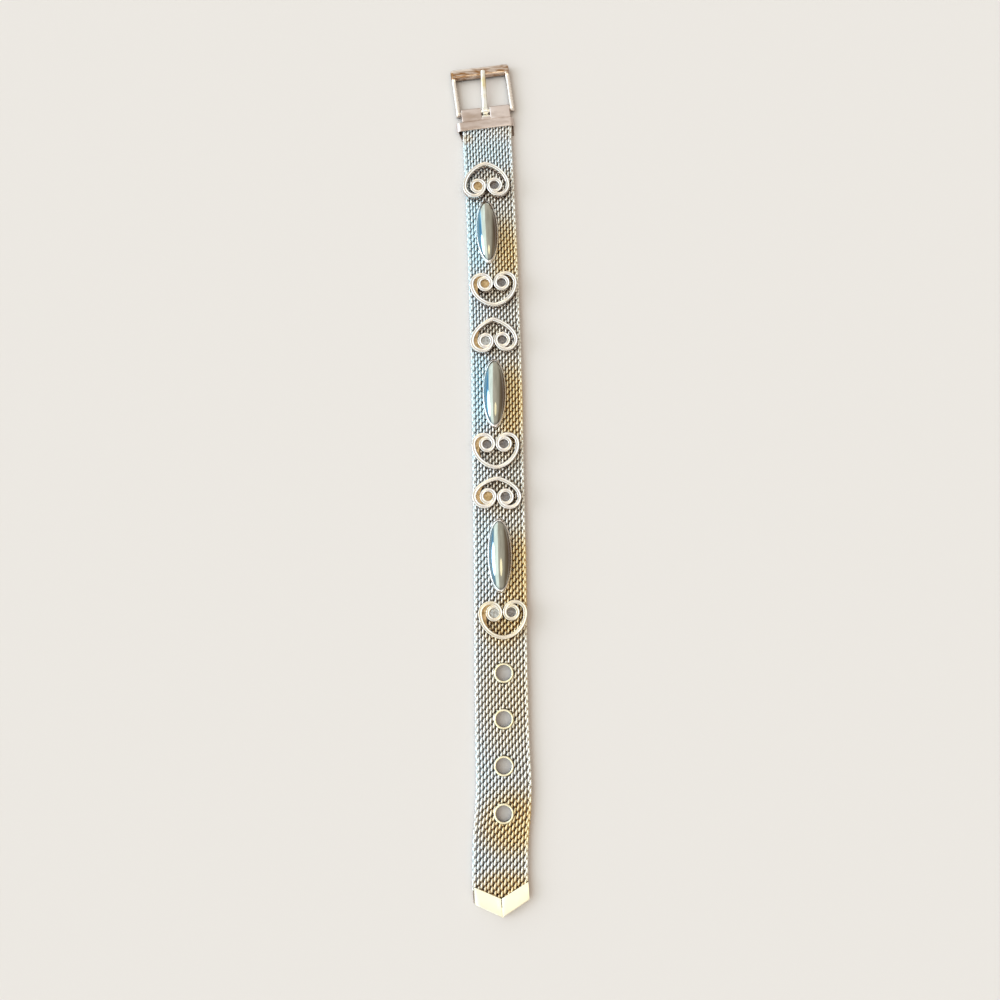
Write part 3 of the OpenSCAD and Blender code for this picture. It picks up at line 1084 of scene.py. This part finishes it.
@dataclass
class ScrollHeart:
    """Heart of one flat ribbon stood on edge, with each end closed into a ring inside its lobe.

    Solder fills the crescent between the ring and the lobe on the left of the picture and runs up
    the side from there, thinner as it goes. In some hearts it fills the ring as well; the other
    rings hold a low dark pool, painted shade over the weave.
    """

    node: str
    turn: float
    width: float
    height: float
    peak: float
    crescent: bool = True
    eye: Eye = Eye.DARK
    warm: float = 0.0
    ribbon: float = 1.0
    tall: float = 1.8
    gap: float = 0.08
    scroll_share: float = 0.635
    sunk: float = 0.05
    sunk_n: int = 20
    ring_n: int = 48
    lobe_n: int = 30
    side_n: int = 31
    foot_r: float = 0.05
    shoulder_r: float = 0.2
    hollow: float = 0.08
    crescent_high: float = 1.1
    crescent_from: float = 225.0
    crescent_n: int = 18
    crescent_thick: Pair = (2.0, 0.5)
    pool_share: float = 0.45
    solder_base: float = 0.01
    solder_drop: float = 0.12
    solder_edge: float = 0.1

    @property
    def start(self) -> float:
        """Distance of the ribbon's middle line from the heart's middle, where the scrolls meet."""
        return (self.ribbon + self.gap) / 2

    @property
    def lobe(self) -> float:
        """Radius of a lobe's middle line."""
        return (self.width / 2 - self.ribbon / 2 - self.start) / 2

    def half_line(self) -> Array:
        """Right half of the ribbon's middle line: ring and lobe are arcs, the side is a quarter
        ellipse blended with a pointed one by peak.

        Returns:
            Points as (n, 2), from the ring's end to the heart's point.
        """
        x0, lobe = self.start, self.lobe
        scroll = self.scroll_share * lobe
        a, b = x0 + 2 * lobe, self.height - lobe - self.ribbon
        t = np.radians(np.linspace(0, 90, self.side_n))
        rise = (1 - self.peak) * np.sin(t) + self.peak * (1 - np.cos(t))
        side = np.stack([a * np.cos(t), b * rise], -1)
        ring = arc(x0 + scroll, scroll, -172, 180, self.ring_n)
        return np.concatenate([ring, arc(x0 + lobe, lobe, 180, 360, self.lobe_n), side])

    def profile(self) -> Array:
        """Cross-section of the ribbon: rounded shoulders and a faint hollow along the top.

        Returns:
            Outline points as (n, 2), with y upwards.
        """
        w, h, steps = self.ribbon / 2, self.tall, 4
        foot, shoulder = self.foot_r, self.shoulder_r
        body = rounded([(w, 0), (w, h), (-w, h), (-w, 0)], [foot, shoulder, shoulder, foot], steps)
        # Places across the top and depths there, as shares of half the ribbon and of the hollow
        across = np.array([0.5, 0.25, 0.0, -0.25, -0.5])
        deep = np.array([0.1875, 0.75, 1.0, 0.75, 0.1875])
        hollow = np.column_stack([across * w, h - deep * self.hollow])
        return np.insert(body, 2 * (steps + 1), hollow, axis=0)

    def fill(self, outline: Array, high: float, place: Place, about: Array) -> Shape:
        """Solder inside an outline, with a softened upper edge.

        Args:
            outline: outline of the solder in the heart's own frame.
            high: height of its top.
            place: the heart's own frame.
            about: from that frame to where the heart is seated.

        Returns:
            The solder in its place.
        """
        flats = [outline, outline, inset(outline, self.solder_edge)]
        heights = [self.solder_base, high - self.solder_drop, high]
        rings = [np.column_stack([flat, np.full(len(flat), z)]) for flat, z in zip(flats, heights)]
        shape = loft(np.array(rings))
        return shape.mapped(place.out(shape.points) + about)

    def fills(self, place: Place, about: Array) -> None:
        """Fill the crescent with solder, the left ring with its eye and the right with painted
        shade.

        Args:
            place: the heart's own frame.
            about: from that frame to where the heart is seated.
        """
        side = -1 if abs(self.turn) < 90 else 1
        x0, lobe, scroll = self.start, self.lobe, self.scroll_share * self.lobe
        number = self.node[-1]
        if self.crescent:
            wall = self.half_line()[-self.side_n:][:self.crescent_n]
            outer = arc(x0 + lobe, lobe, self.crescent_from, 360, self.lobe_n)
            thick = np.linspace(*self.crescent_thick, len(wall))[:, None]
            back = (wall - thick * unit(wall * [1, 1.6]))[::-1]
            inner = arc(x0 + scroll, scroll, 360, self.crescent_from, 24)
            outline = (np.concatenate([outer, wall, back, inner]) * [side, 1])[::side]
            crescent = self.fill(outline, self.crescent_high, place, about)
            make(f"crescent_fillet_{number}", crescent, Finish.GILT)
        ring = arc(x0 + scroll, scroll - self.pool_share * self.ribbon, 0, 360, 32)
        for name, where, eye in (("left", side, self.eye), ("right", -side, Eye.DARK)):
            finish, high = eye.value
            pool = self.fill((ring * [where, 1])[::where], high, place, about)
            make(f"{name}_eye_solder_and_shade_{number}", pool, finish)

    def build(self) -> None:
        """Sweep the ribbon's cross-section along its middle line and seat it on the strap."""
        half = self.half_line()
        line = np.concatenate([half, half[-2::-1] * [-1, 1]])
        run = unit(np.gradient(line, axis=0))
        out = np.stack([run[:, 1], -run[:, 0]], -1)
        prof = self.profile()
        flat = line[:, None] + out[:, None] * prof[None, :, :1]
        from_end = np.minimum(np.arange(len(line)), np.arange(len(line))[::-1])
        inside = np.interp(from_end, [0, self.sunk_n], [self.sunk, 0.0])
        z = prof[None, :, 1] - inside[:, None] * (prof[None, :, 1] > self.tall / 2)
        place = turned(self.turn)
        ribbon = loft(np.concatenate([flat, z[..., None]], -1)[:, ::-1])
        plain = ribbon.mapped(place.out(ribbon.points))
        seated = on_node(plain, self.node)
        make("scroll_" + self.node, seated, Finish.HEART, self.node, sharp=50,
             tone=np.full(len(seated.points), self.warm))
        self.fills(place, seated.points[0] - plain.points[0])


@dataclass
class SetStone:
    """Long cabochon in a thin bezel.

    Its dome is part of a long spheroid, cut above its middle: at a height z above the cut it is
    narrower by sqrt(1 - ((cut + z) / r)^2), where r is the radius of the round section. Its painted
    blue reflection on the left flank has a strength from 0 to 1.
    """

    number: int
    turn: float
    size: float
    blue_reflection: float
    length: float = 18.1
    width: float = 5.9
    dome: float = 2.3
    wall: float = 0.14
    lip: float = 0.42
    floor: float = 0.25

    @property
    def round_r(self) -> float:
        """Radius of the spheroid's round section."""
        return (self.dome ** 2 + (self.size * self.width / 2) ** 2) / (2 * self.dome)

    def radii(self, z: Array) -> tuple[Array, Array]:
        """Half width and half length of the stone.

        Args:
            z: heights above its base.

        Returns:
            Half width and half length at each height.
        """
        cut = self.round_r - self.dome
        share = np.sqrt(np.clip(1 - ((cut + z) / self.round_r) ** 2, 0, 1))
        base = math.sqrt(1 - (cut / self.round_r) ** 2)
        return self.round_r * share, self.size * self.length / 2 / base * share

    def rings(self, heights: Array, out: Array, count: int = 96) -> Array:
        """Ovals round the stone.

        Args:
            heights: height of each oval above the stone's base.
            out: distance of each oval from the stone's surface.
            count: points round an oval.

        Returns:
            Points as (oval, point, xyz).
        """
        t = np.linspace(0, 2 * math.pi, count, endpoint=False)[None]
        a, b = (r[:, None] for r in self.radii(heights))
        size = np.hypot(b * np.cos(t), a * np.sin(t)) + 1e-9
        x = a * np.cos(t) + out[:, None] * b * np.cos(t) / size
        y = b * np.sin(t) + out[:, None] * a * np.sin(t) / size
        return np.stack([x, y, np.broadcast_to(heights[:, None], x.shape)], -1)

    def build(self) -> None:
        """Make the stone and its bezel."""
        place = turned(self.turn)
        cut = self.round_r - self.dome
        angles = np.linspace(math.asin(cut / self.round_r), math.pi / 2, 22)
        heights = self.round_r * np.sin(angles) - cut
        heights[-1] = self.dome - 1e-5
        stone = loft(self.rings(heights, np.zeros(len(heights))))
        # Tone runs from the left flank to the right; it places the painted reflections
        tone = stone.points[:, 0] / self.round_r
        tone = np.maximum(tone, np.interp(self.blue_reflection, [0, 1], BLUE_REFLECTION_SPAN))
        node = f"cabochon_{self.number}"
        stone = on_node(stone.mapped(place.out(stone.points)), node)
        make(f"stone_{self.number}", stone, Finish.STONE, node, slot=Slot.STONE, sharp=None,
             tone=tone)
        # The wall in (distance from the stone, height): upright, then burnished in over the stone
        w, top = self.wall, self.lip
        prof = rounded(
            [(0.02, 0), (w + 0.03, 0), (w, top * 0.6), (w * 0.75, top), (0.0, top + 0.03)],
            [0.01, 0.05, 0.07, 0.07, 0.04], 3)
        ring = self.rings(prof[:, 1], prof[:, 0])
        bezel = loft(ring, caps=False, closed=True)
        bezel.faces = [f[:, ::-1] for f in bezel.faces]
        floor = loft(self.rings(np.array([-self.floor, 0.02]), np.array([w, w])))
        both = bezel.plus(floor)
        both = both.mapped(place.out(both.points))
        both = on_node(both, f"bezel_{self.number}")
        make(f"oval_bezel_{self.number}", both, Finish.SETTING, f"bezel_{self.number}")


@dataclass
class Eyelet:
    """Pressed ring: a rolled lip round the bore on a slightly wider collar.

    Between the two collars its wall is drawn in by neck, and above the upper one stands a bead.
    """

    number: int
    bore: float = 4.0
    rim: float = 0.5
    collar: float = 0.04
    step: float = 0.16
    neck: float = 0.05
    bead: float = 0.06
    bead_in: float = 0.02

    def build(self) -> None:
        """Revolve the ring's profile about the middle of its CAD node."""
        node = f"eyelet_{self.number}"
        low, high = box_mm(node)
        bottom, top = low[2], high[2]
        r, outer = self.bore / 2, self.bore / 2 + self.rim
        wide, neck = outer + self.collar, outer - self.neck
        lower, upper = bottom + self.step, top - self.step
        outline = rounded(
            [(r, bottom), (wide, bottom), (wide, lower), (neck, lower + self.neck),
             (neck, upper - self.neck), (wide, upper), (wide, upper + self.bead),
             (outer - self.bead_in, upper + self.bead + self.bead_in), (outer - self.bead, top),
             (r, top)],
            [0.22, 0.07, 0.05, 0.04, 0.04, 0.03, 0.03, 0.03, 0.16, 0.2], 4)
        shape = revolve(outline, (low + high) / 2)
        make(f"pressed_{node}", shape, Finish.EYELET, node, sharp=60)


# Clamp and buckle


@dataclass
class EndClamp:
    """Sheet clamp: two knuckle leaves round the pivot, a crease, and jaws that pinch the strap."""

    sheet: float = 0.4
    crease_y: float = 3.17
    crease: float = 0.2
    slot_w: float = 2.4
    slot_depth: float = 2.3
    jaw_w: float = 16.2
    jaw_off: float = -0.3
    jaw_y: float = 5.74
    lip_depth: float = 2.2
    lip_taper: Pair = (1.2, 0.3)
    soften: float = 0.25
    end_bend: float = 1.1
    end_drop: float = 0.9
    lap: float = 0.05
    step: float = 0.02
    floor_front: Pair = (-1.12, 1.2)
    floor_back: Pair = (-2.0, 1.92)
    floor_lap: Pair = (0.1, 0.2)
    tone_side: Pair = (-7.0, 7.0)
    painted_highlight_end: Pair = (6.7, 7.6)

    def leaf(self, low: float, high: float, tall: float) -> Shape:
        """One half of the knuckle: a leaf that rolls round the pivot.

        Args:
            low: lower x of the leaf.
            high: upper x of the leaf.
            tall: height of the knuckle.

        Returns:
            The leaf in the pivot's frame.
        """
        r = tall / 2
        a = np.radians(np.linspace(-90, 90, 17))
        roll = np.stack([r * np.cos(a), r + r * np.sin(a)], -1)
        back = -self.crease_y - self.lap
        crease = [[back + self.crease, tall], [back, tall - self.crease], [back, 0]]
        outline = np.concatenate([roll, crease])
        return prism(outline, low, high, self.soften, 5)

    def bridge(self, middle: float, tall: float) -> Shape:
        """Metal between the leaves, behind the tongue's slot.

        Args:
            middle: x of the slot's middle.
            tall: height of the knuckle.

        Returns:
            The bridge in the pivot's frame.
        """
        back, top = -self.crease_y - self.lap, tall - self.step
        half = self.slot_w / 2 + self.soften
        outline = rounded(
            [(-self.slot_depth, 0), (-self.slot_depth, top), (back + self.crease, top),
             (back, top - self.crease), (back, 0)], [0.1, 0.2, 0.05, 0.05, 0.05])
        return prism(outline, middle - half, middle + half, 0.02)

    def jaws(self, tall: float) -> Shape:
        """Front jaw and longer back jaw, one bent sheet, with the back jaw's corners cut in.

        Over its last end_bend at each side the front jaw drops by end_drop along an arc.

        Args:
            tall: height of the clamp.

        Returns:
            The jaws in the pivot's frame.
        """
        t, back, front, top = self.sheet, -self.crease_y, -self.jaw_y, tall - self.step
        lip = front - self.lip_depth
        outline = rounded(
            [(back, 0), (back, top), (front, top), (front, tall - t), (back - t, tall - t),
             (back - t, t), (lip, t), (lip, 0)],
            [0.15, self.crease, 0.3, 0.05, 0.1, 0.1, 0.15, 0.15], 5)
        half = self.jaw_w / 2
        shape = prism(outline, -half, half, 0.1, 3, 48)
        p = shape.points.copy()
        bend = np.clip(1 - (half - np.abs(p[:, 0])) / self.end_bend, 0, 0.97) * (p[:, 2] > tall / 2)
        p[:, 2] -= self.end_drop * (1 - np.sqrt(1 - bend ** 2))
        past = np.clip((front - p[:, 1]) / self.lip_depth, 0, 1)
        p[:, 0] *= 1 - np.where(p[:, 0] < 0, *self.lip_taper) * past / half
        p[:, 0] += self.jaw_off
        return shape.mapped(p)

    def slot_floor(self, middle: float) -> Shape:
        """Floor of the tongue's slot, which slopes up from the pivot below the raised tongue.

        Args:
            middle: x of the slot's middle.

        Returns:
            The floor in the pivot's frame.
        """
        side, past = self.floor_lap
        half, back, foot = self.slot_w / 2 + side, -self.slot_depth - past, 0.1
        outline = rounded([(self.floor_front[0], foot), self.floor_front, self.floor_back,
                           (back, self.floor_back[1]), (back, foot)], 0.1)
        return prism(outline, middle - half, middle + half, self.step)

    def tone(self, points: Array) -> Array:
        """Tone of the plating: warmer to the left, darker along the crease as painted shade, and
        bright at the bent ends as painted highlight.

        It falls from left to right by a smooth step, rises along the crease by a bell, faded out to
        the right, and drops at the bent ends.

        Args:
            points: points in the pivot's frame.

        Returns:
            Tone of each point.
        """
        x, y = points[:, 0], points[:, 1]
        tone = 0.25 - 0.35 * smooth_step(x, *self.tone_side)
        # Painted shade along the crease
        tone += 0.7 * np.exp(-((y + self.crease_y) / 0.3) ** 2) * smooth_step(-x, -2.0, 6.0)
        # Painted highlight at the jaw's bent ends
        return tone - 1.5 * smooth_step(np.abs(x - self.jaw_off), *self.painted_highlight_end)

    def build(self) -> None:
        """Make the clamp and the floor of its slot."""
        place = pivot_place()
        local = place.local(node_points("end_clamp"))
        tall = np.ptp(local[:, 2])
        roll = local[local[:, 1] > 0, 0]
        middle = (roll.min() + roll.max()) / 2
        shape = self.leaf(roll.min(), middle - self.slot_w / 2, tall)
        shape = shape.plus(self.leaf(middle + self.slot_w / 2, roll.max(), tall))
        shape = shape.plus(self.bridge(middle, tall)).plus(self.jaws(tall))
        tone = self.tone(shape.points)
        shape = shape.mapped(place.out(shape.points))
        make("rolled_clamp", shape, Finish.CLAMP, "end_clamp", slot=Slot.SHEET, tone=tone)
        floor = self.slot_floor(middle)
        floor = floor.mapped(place.out(floor.points))
        make("slot_floor", floor, Finish.TONGUE, slot=Slot.SHEET)


CLAMP = EndClamp()


@dataclass
class BuckleFrame:
    """Cast frame: two rails with rounded eyes on the pivot, and a broad cross bar.

    The frame is skinned between an inner and an outer outline that run side by side from one
    eye, round the cross bar, to the other; each cross-section is a rounded oblong.
    """

    rail: float = 1.35
    rail_t: float = 1.7
    bar_depth: float = 2.95
    corner: float = 0.8
    inner_corner: float = 0.3
    eye_r: float = 1.05
    squareness: float = 3.2
    bend: float = 0.6
    eye_run: float = 2.2
    bar_rise: Pair = (-1.2, 0.3)
    spacing: float = 1.6
    rail_n: int = 26
    turn_n: int = 15
    bar_n: int = 14
    section_n: int = 28
    inner_step: Pair = (0.8, 1.1)
    left_end: Pair = (0.9, 0.3)

    def track(self, corners: list[Pair], radius: float, count: int) -> Array:
        """Even points along a line that turns one rounded corner.

        Args:
            corners: start, corner and end of the line.
            radius: reach of the rounded corner.
            count: number of points.

        Returns:
            Points as (count, 2).
        """
        bend = rounded(corners, radius, 8)[9:18]
        line = np.concatenate([[corners[0]], bend, [corners[2]]])
        s = np.concatenate([[0], np.cumsum(np.linalg.norm(np.diff(line, axis=0), axis=1))])
        even = np.linspace(0, s[-1], count)
        return np.stack([np.interp(even, s, line[:, i]) for i in (0, 1)], -1)

    def outline(self, wide: float, reach: float, corner: float, turn: Pair) -> Array:
        """One outline of the frame: from the right eye, round the cross bar, to the left eye.

        Args:
            wide: x of its rail.
            reach: y of its cross bar.
            corner: reach of its rounded corner.
            turn: x and y from where on both outlines turn side by side.

        Returns:
            Outline points as (n, 2).
        """
        share = np.linspace(0, 1, self.rail_n, endpoint=False) ** self.spacing
        y = -self.eye_r + (turn[1] + self.eye_r) * share
        x = np.linspace(turn[0], 0, self.bar_n + 1)[1:]
        bend = self.track([(wide, turn[1]), (wide, reach), (turn[0], reach)], corner, self.turn_n)
        half = np.concatenate([np.stack([np.full(self.rail_n, wide), y], -1), bend,
                               np.stack([x, np.full(self.bar_n, reach)], -1)])
        return np.concatenate([half, half[-2::-1] * [-1, 1]])

    def build(self) -> None:
        """Skin the frame between its outlines, with the rail's height growing into the bar's."""
        low, high = spread("buckle_frame")
        wide, reach, tall = (high[0] - low[0]) / 2, high[1], high[2]
        inner_x, inner_y = wide - self.rail, reach - self.bar_depth
        turn = (inner_x - self.bend, inner_y - self.bend)
        outer = self.outline(wide, reach, self.corner, turn)
        inner = self.outline(inner_x, inner_y, self.inner_corner, turn)
        mid, half = (outer + inner) / 2, (outer - inner) / 2
        y = mid[:, 1]
        eye = np.sqrt(np.maximum(self.eye_r ** 2 - np.minimum(y, 0) ** 2, 1e-4))
        past_eye = smooth_step(y, 0.0, self.eye_run)
        half_t = np.where(y < 0, eye, self.eye_r + (self.rail_t / 2 - self.eye_r) * past_eye)
        into_bar = smooth_step(y - inner_y, *self.bar_rise)
        mid_z = self.eye_r + (tall / 2 - self.eye_r) * into_bar
        half_t = half_t + (tall / 2 - half_t) * into_bar
        cos, sin = oblong(self.section_n, 2 / self.squareness)
        flat = mid[:, None] + half[:, None] * cos[None, :, None]
        z = mid_z[:, None] + half_t[:, None] * sin[None]
        shape = loft(np.concatenate([flat, z[..., None]], -1))
        # The rails keep their plating, the cross bar has worn, more on its inner step and left end
        across, left = reach - shape.points[:, 1], wide + shape.points[:, 0]
        tone = 0.95 + 0.4 * smooth_step(across, *self.inner_step)
        tone = np.repeat(into_bar, len(cos)) * tone - 0.9
        on_bar = smooth_step(-across, -3.2, -2.6)
        tone += 0.5 * on_bar * smooth_step(-left, -self.left_end[0], -self.left_end[1])
        middle = np.array([(low[0] + high[0]) / 2, 0, 0])
        shape = shape.mapped(pivot_place().out(shape.points + middle))
        make("cast_frame", shape, Finish.BUCKLE, "buckle_frame", body=Body.FRAME, slot=Slot.BUCKLE,
             sharp=None, tone=tone)


@dataclass
class Tongue:
    """Drawn pin, looped round the pivot, that rises to lie on the cross bar."""

    lean: float = 4.2
    reach: float = 11.75
    seat_y: float = 10.3
    root_w: float = 1.7
    end_w: float = 1.3
    thick: float = 0.8
    loop_r: float = 1.05
    boxy: float = 0.7
    warm_band: float = 0.8
    warm_band_y: float = 7.9
    warm_band_len: float = 1.9
    rings: int = 44
    blunt_len: float = 0.55
    flat_share: float = 0.55
    loop_edge: float = 0.2

    def middle_line(self, y: Array) -> Array:
        """Height of the pin's middle: it rises slowly, then steps up to lie on the cross bar.

        Straight runs between a few heights, each place then averaged with its two neighbours on
        both sides.

        Args:
            y: places along the pin, from 0 to its end.

        Returns:
            Height at each place.
        """
        seat, end = spread("tongue")[1][2] - self.thick / 2, y[-1]
        z = np.interp(y, [0.0, 4.0, 8.6, self.seat_y, end - 0.6, end],
                      [self.loop_r, self.loop_r + 0.5, seat - 0.25, seat, seat, seat - 0.12])
        return np.convolve(np.pad(z, 2, mode="edge"), np.ones(5) / 5, mode="valid")

    def pin(self) -> Shape:
        """A rounded oblong carried along the pin's middle line.

        Its width tapers evenly, and over its last blunt_len it closes along a quarter circle.

        Returns:
            The pin in the pivot's frame.
        """
        y = np.linspace(0, self.reach - 0.02, self.rings)
        half_w = (self.root_w + (self.end_w - self.root_w) * y / self.reach) / 2
        past = 1 - np.clip((y[-1] - y) / self.blunt_len, 0, 1)
        blunt = np.sqrt(np.maximum(1 - past ** 2, 0.02))
        half_t = self.thick / 2 * (self.flat_share + (1 - self.flat_share) * blunt)
        cos, sin = oblong(20, self.boxy)
        x = (half_w * blunt)[:, None] * cos[None]
        z = self.middle_line(y)[:, None] + half_t[:, None] * sin[None]
        pin = loft(np.stack([-x, np.broadcast_to(y[:, None], x.shape), z], -1))
        return pin.mapped(turned(-self.lean).out(pin.points))

    def build(self) -> None:
        """Make the pin and its loop, and bring them to the pivot."""
        cos, sin = oblong(40, 1)
        half, circle = self.root_w / 2, self.loop_r * np.stack([cos, 1 + sin], -1)
        both = self.pin().plus(prism(circle, -half, half, self.loop_edge))
        # A brassy band across the pin where it rises to the cross bar: painted warm reflection
        tone = self.warm_band * np.exp(-((both.points[:, 1] - self.warm_band_y) / self.warm_band_len) ** 4)
        middle = pivot_place().local(sum(box_mm("pivot_bar")) / 2) * [1, 0, 0]
        both = both.mapped(pivot_place().out(both.points + middle))
        make("drawn_tongue", both, Finish.TONGUE, "tongue", body=Body.TONGUE, sharp=50, tone=tone)


# Stage


@dataclass(frozen=True)
class Sun:
    """A broad distant light, with its spread and its direction in degrees."""

    name: str
    colour: str
    power: float
    spread: float
    azimuth: float
    height: float

    def build(self) -> None:
        """Make the light and turn it so that it shines from its direction."""
        light = bpy.data.lights.new(self.name, "SUN")
        light.color = linear(self.colour)[:3]
        light.energy = self.power
        light.angle = math.radians(self.spread)
        lamp = bpy.data.objects.new(self.name, light)
        bpy.context.scene.collection.objects.link(lamp)
        a, e = math.radians(self.azimuth), math.radians(self.height)
        to_light = Vector((math.cos(a) * math.cos(e), math.sin(a) * math.cos(e), math.sin(e)))
        lamp.rotation_euler = to_light.to_track_quat("Z", "Y").to_euler()


@dataclass
class Studio:
    """Plain pale floor, soft light and the camera at the photograph's angle.

    The lights are a cool broad one from low on the left and a weaker warm one from nearly overhead.
    The camera stands back mm behind the point it aims at, and up mm above it.
    """

    floor_size: float = 3.0
    room: float = 2.55
    suns: tuple[Sun, ...] = (Sun("window", "eef2ff", 1.3, 32.0, 180.0, 25.0),
                             Sun("lamp", "fff2c8", 0.2, 22.0, -40.0, 76.0))
    aim: Triple = (2.956, -10.854, 2.0)
    back: float = 41.87
    up: float = 253.36
    lens: float = 35.0

    def build(self) -> None:
        """Make floor, world, lights and camera."""
        self.floor()
        self.world()
        for sun in self.suns:
            sun.build()
        self.camera()

    def floor(self) -> None:
        """A square board under the bracelet."""
        s = self.floor_size / 2
        mesh = bpy.data.meshes.new("floor")
        mesh.from_pydata([(-s, -s, 0), (s, -s, 0), (s, s, 0), (-s, s, 0)], [], [(0, 1, 2, 3)])
        mesh.materials.append(PaleBoard().build())
        floor = bpy.data.objects.new("floor", mesh)
        bpy.context.scene.collection.objects.link(floor)

    def world(self) -> None:
        """A soft room, told apart by how far a direction points to the right: a bright cool window
        on the left between bluer walls, pale overhead, duller to the right and brown low on it."""
        world = bpy.data.worlds.new("soft_room")
        bpy.context.scene.world = world
        world.use_nodes = True
        tree = world.node_tree
        parts = put(tree, "SeparateXYZ", {"Vector": put(tree, "TexCoord").outputs["Generated"]})
        tone = ramp(tree, rescale(tree, parts.outputs["X"], (-1.0, 1.0)), [
            (0.0, "6f8ea3"), (0.08, "6f8ea3"), (0.11, "d6eaf2"), (0.34, "dcedf2"), (0.38, "a6a5a1"),
            (0.5, "9f9d98"), (0.74, "98958e"), (0.84, "86827b"), (0.9, "665c52"), (1.0, "6b5f50")])
        tree.links.new(tone, tree.nodes["Background"].inputs["Color"])
        tree.nodes["Background"].inputs["Strength"].default_value = self.room

    def camera(self) -> None:
        """The photograph's camera, above the strap's lower part and looking slightly up it."""
        data = bpy.data.cameras.new("camera")
        data.lens = self.lens
        data.clip_start = 0.01
        cam = bpy.data.objects.new("camera", data)
        bpy.context.scene.collection.objects.link(cam)
        aim = Vector(self.aim) * MM
        cam.location = aim + Vector((0, -self.back, self.up)) * MM
        cam.rotation_euler = (cam.location - aim).to_track_quat("Z", "Y").to_euler()
        bpy.context.scene.camera = cam
        bpy.context.scene.view_settings.view_transform = "Standard"


# Node, turn, width, height and peak, then whether a crescent stands, the left eye and the warmth
HEARTS = [
    ScrollHeart("heart_1", 4.0, 12.93, 10.29, 0.20, False, Eye.GILT),
    ScrollHeart("heart_2", 184.5, 12.8, 9.8, 0.10, True, Eye.GILT),
    ScrollHeart("heart_3", 4.0, 12.8, 9.7, 0.32, True, Eye.GREY),
    ScrollHeart("heart_4", 181.5, 12.67, 9.9, 0.10),
    ScrollHeart("heart_5", -1.5, 12.93, 8.62, 0.25, True, Eye.GILT),
    ScrollHeart("heart_6", 183.0, 12.67, 10.0, 0.06, True, Eye.GREY, 0.4),
]
# Number, turn, size and strength of the painted blue reflection on the left flank
STONES = [SetStone(1, 3.0, 1.0, 1.0), SetStone(2, 0.5, 1.03, 1.0), SetStone(3, 1.5, 1.05, 0.7)]


def main() -> None:
    """Build every piece, then the stage."""
    logging.basicConfig(level=logging.INFO, format="%(name)s: %(message)s")
    StrapWeave().build()
    TIP.build()
    for ornament in HEARTS + STONES:
        ornament.build()
    for number in EYELETS:
        Eyelet(number).build()
    CLAMP.build()
    BuckleFrame().build()
    Tongue().build()
    bar = frame["nodes"]["pivot_bar"]
    bar.data.materials.clear()
    bar.data.materials.append(Finish.TONGUE.material())
    Studio().build()


if __name__ == "__main__":
    main()
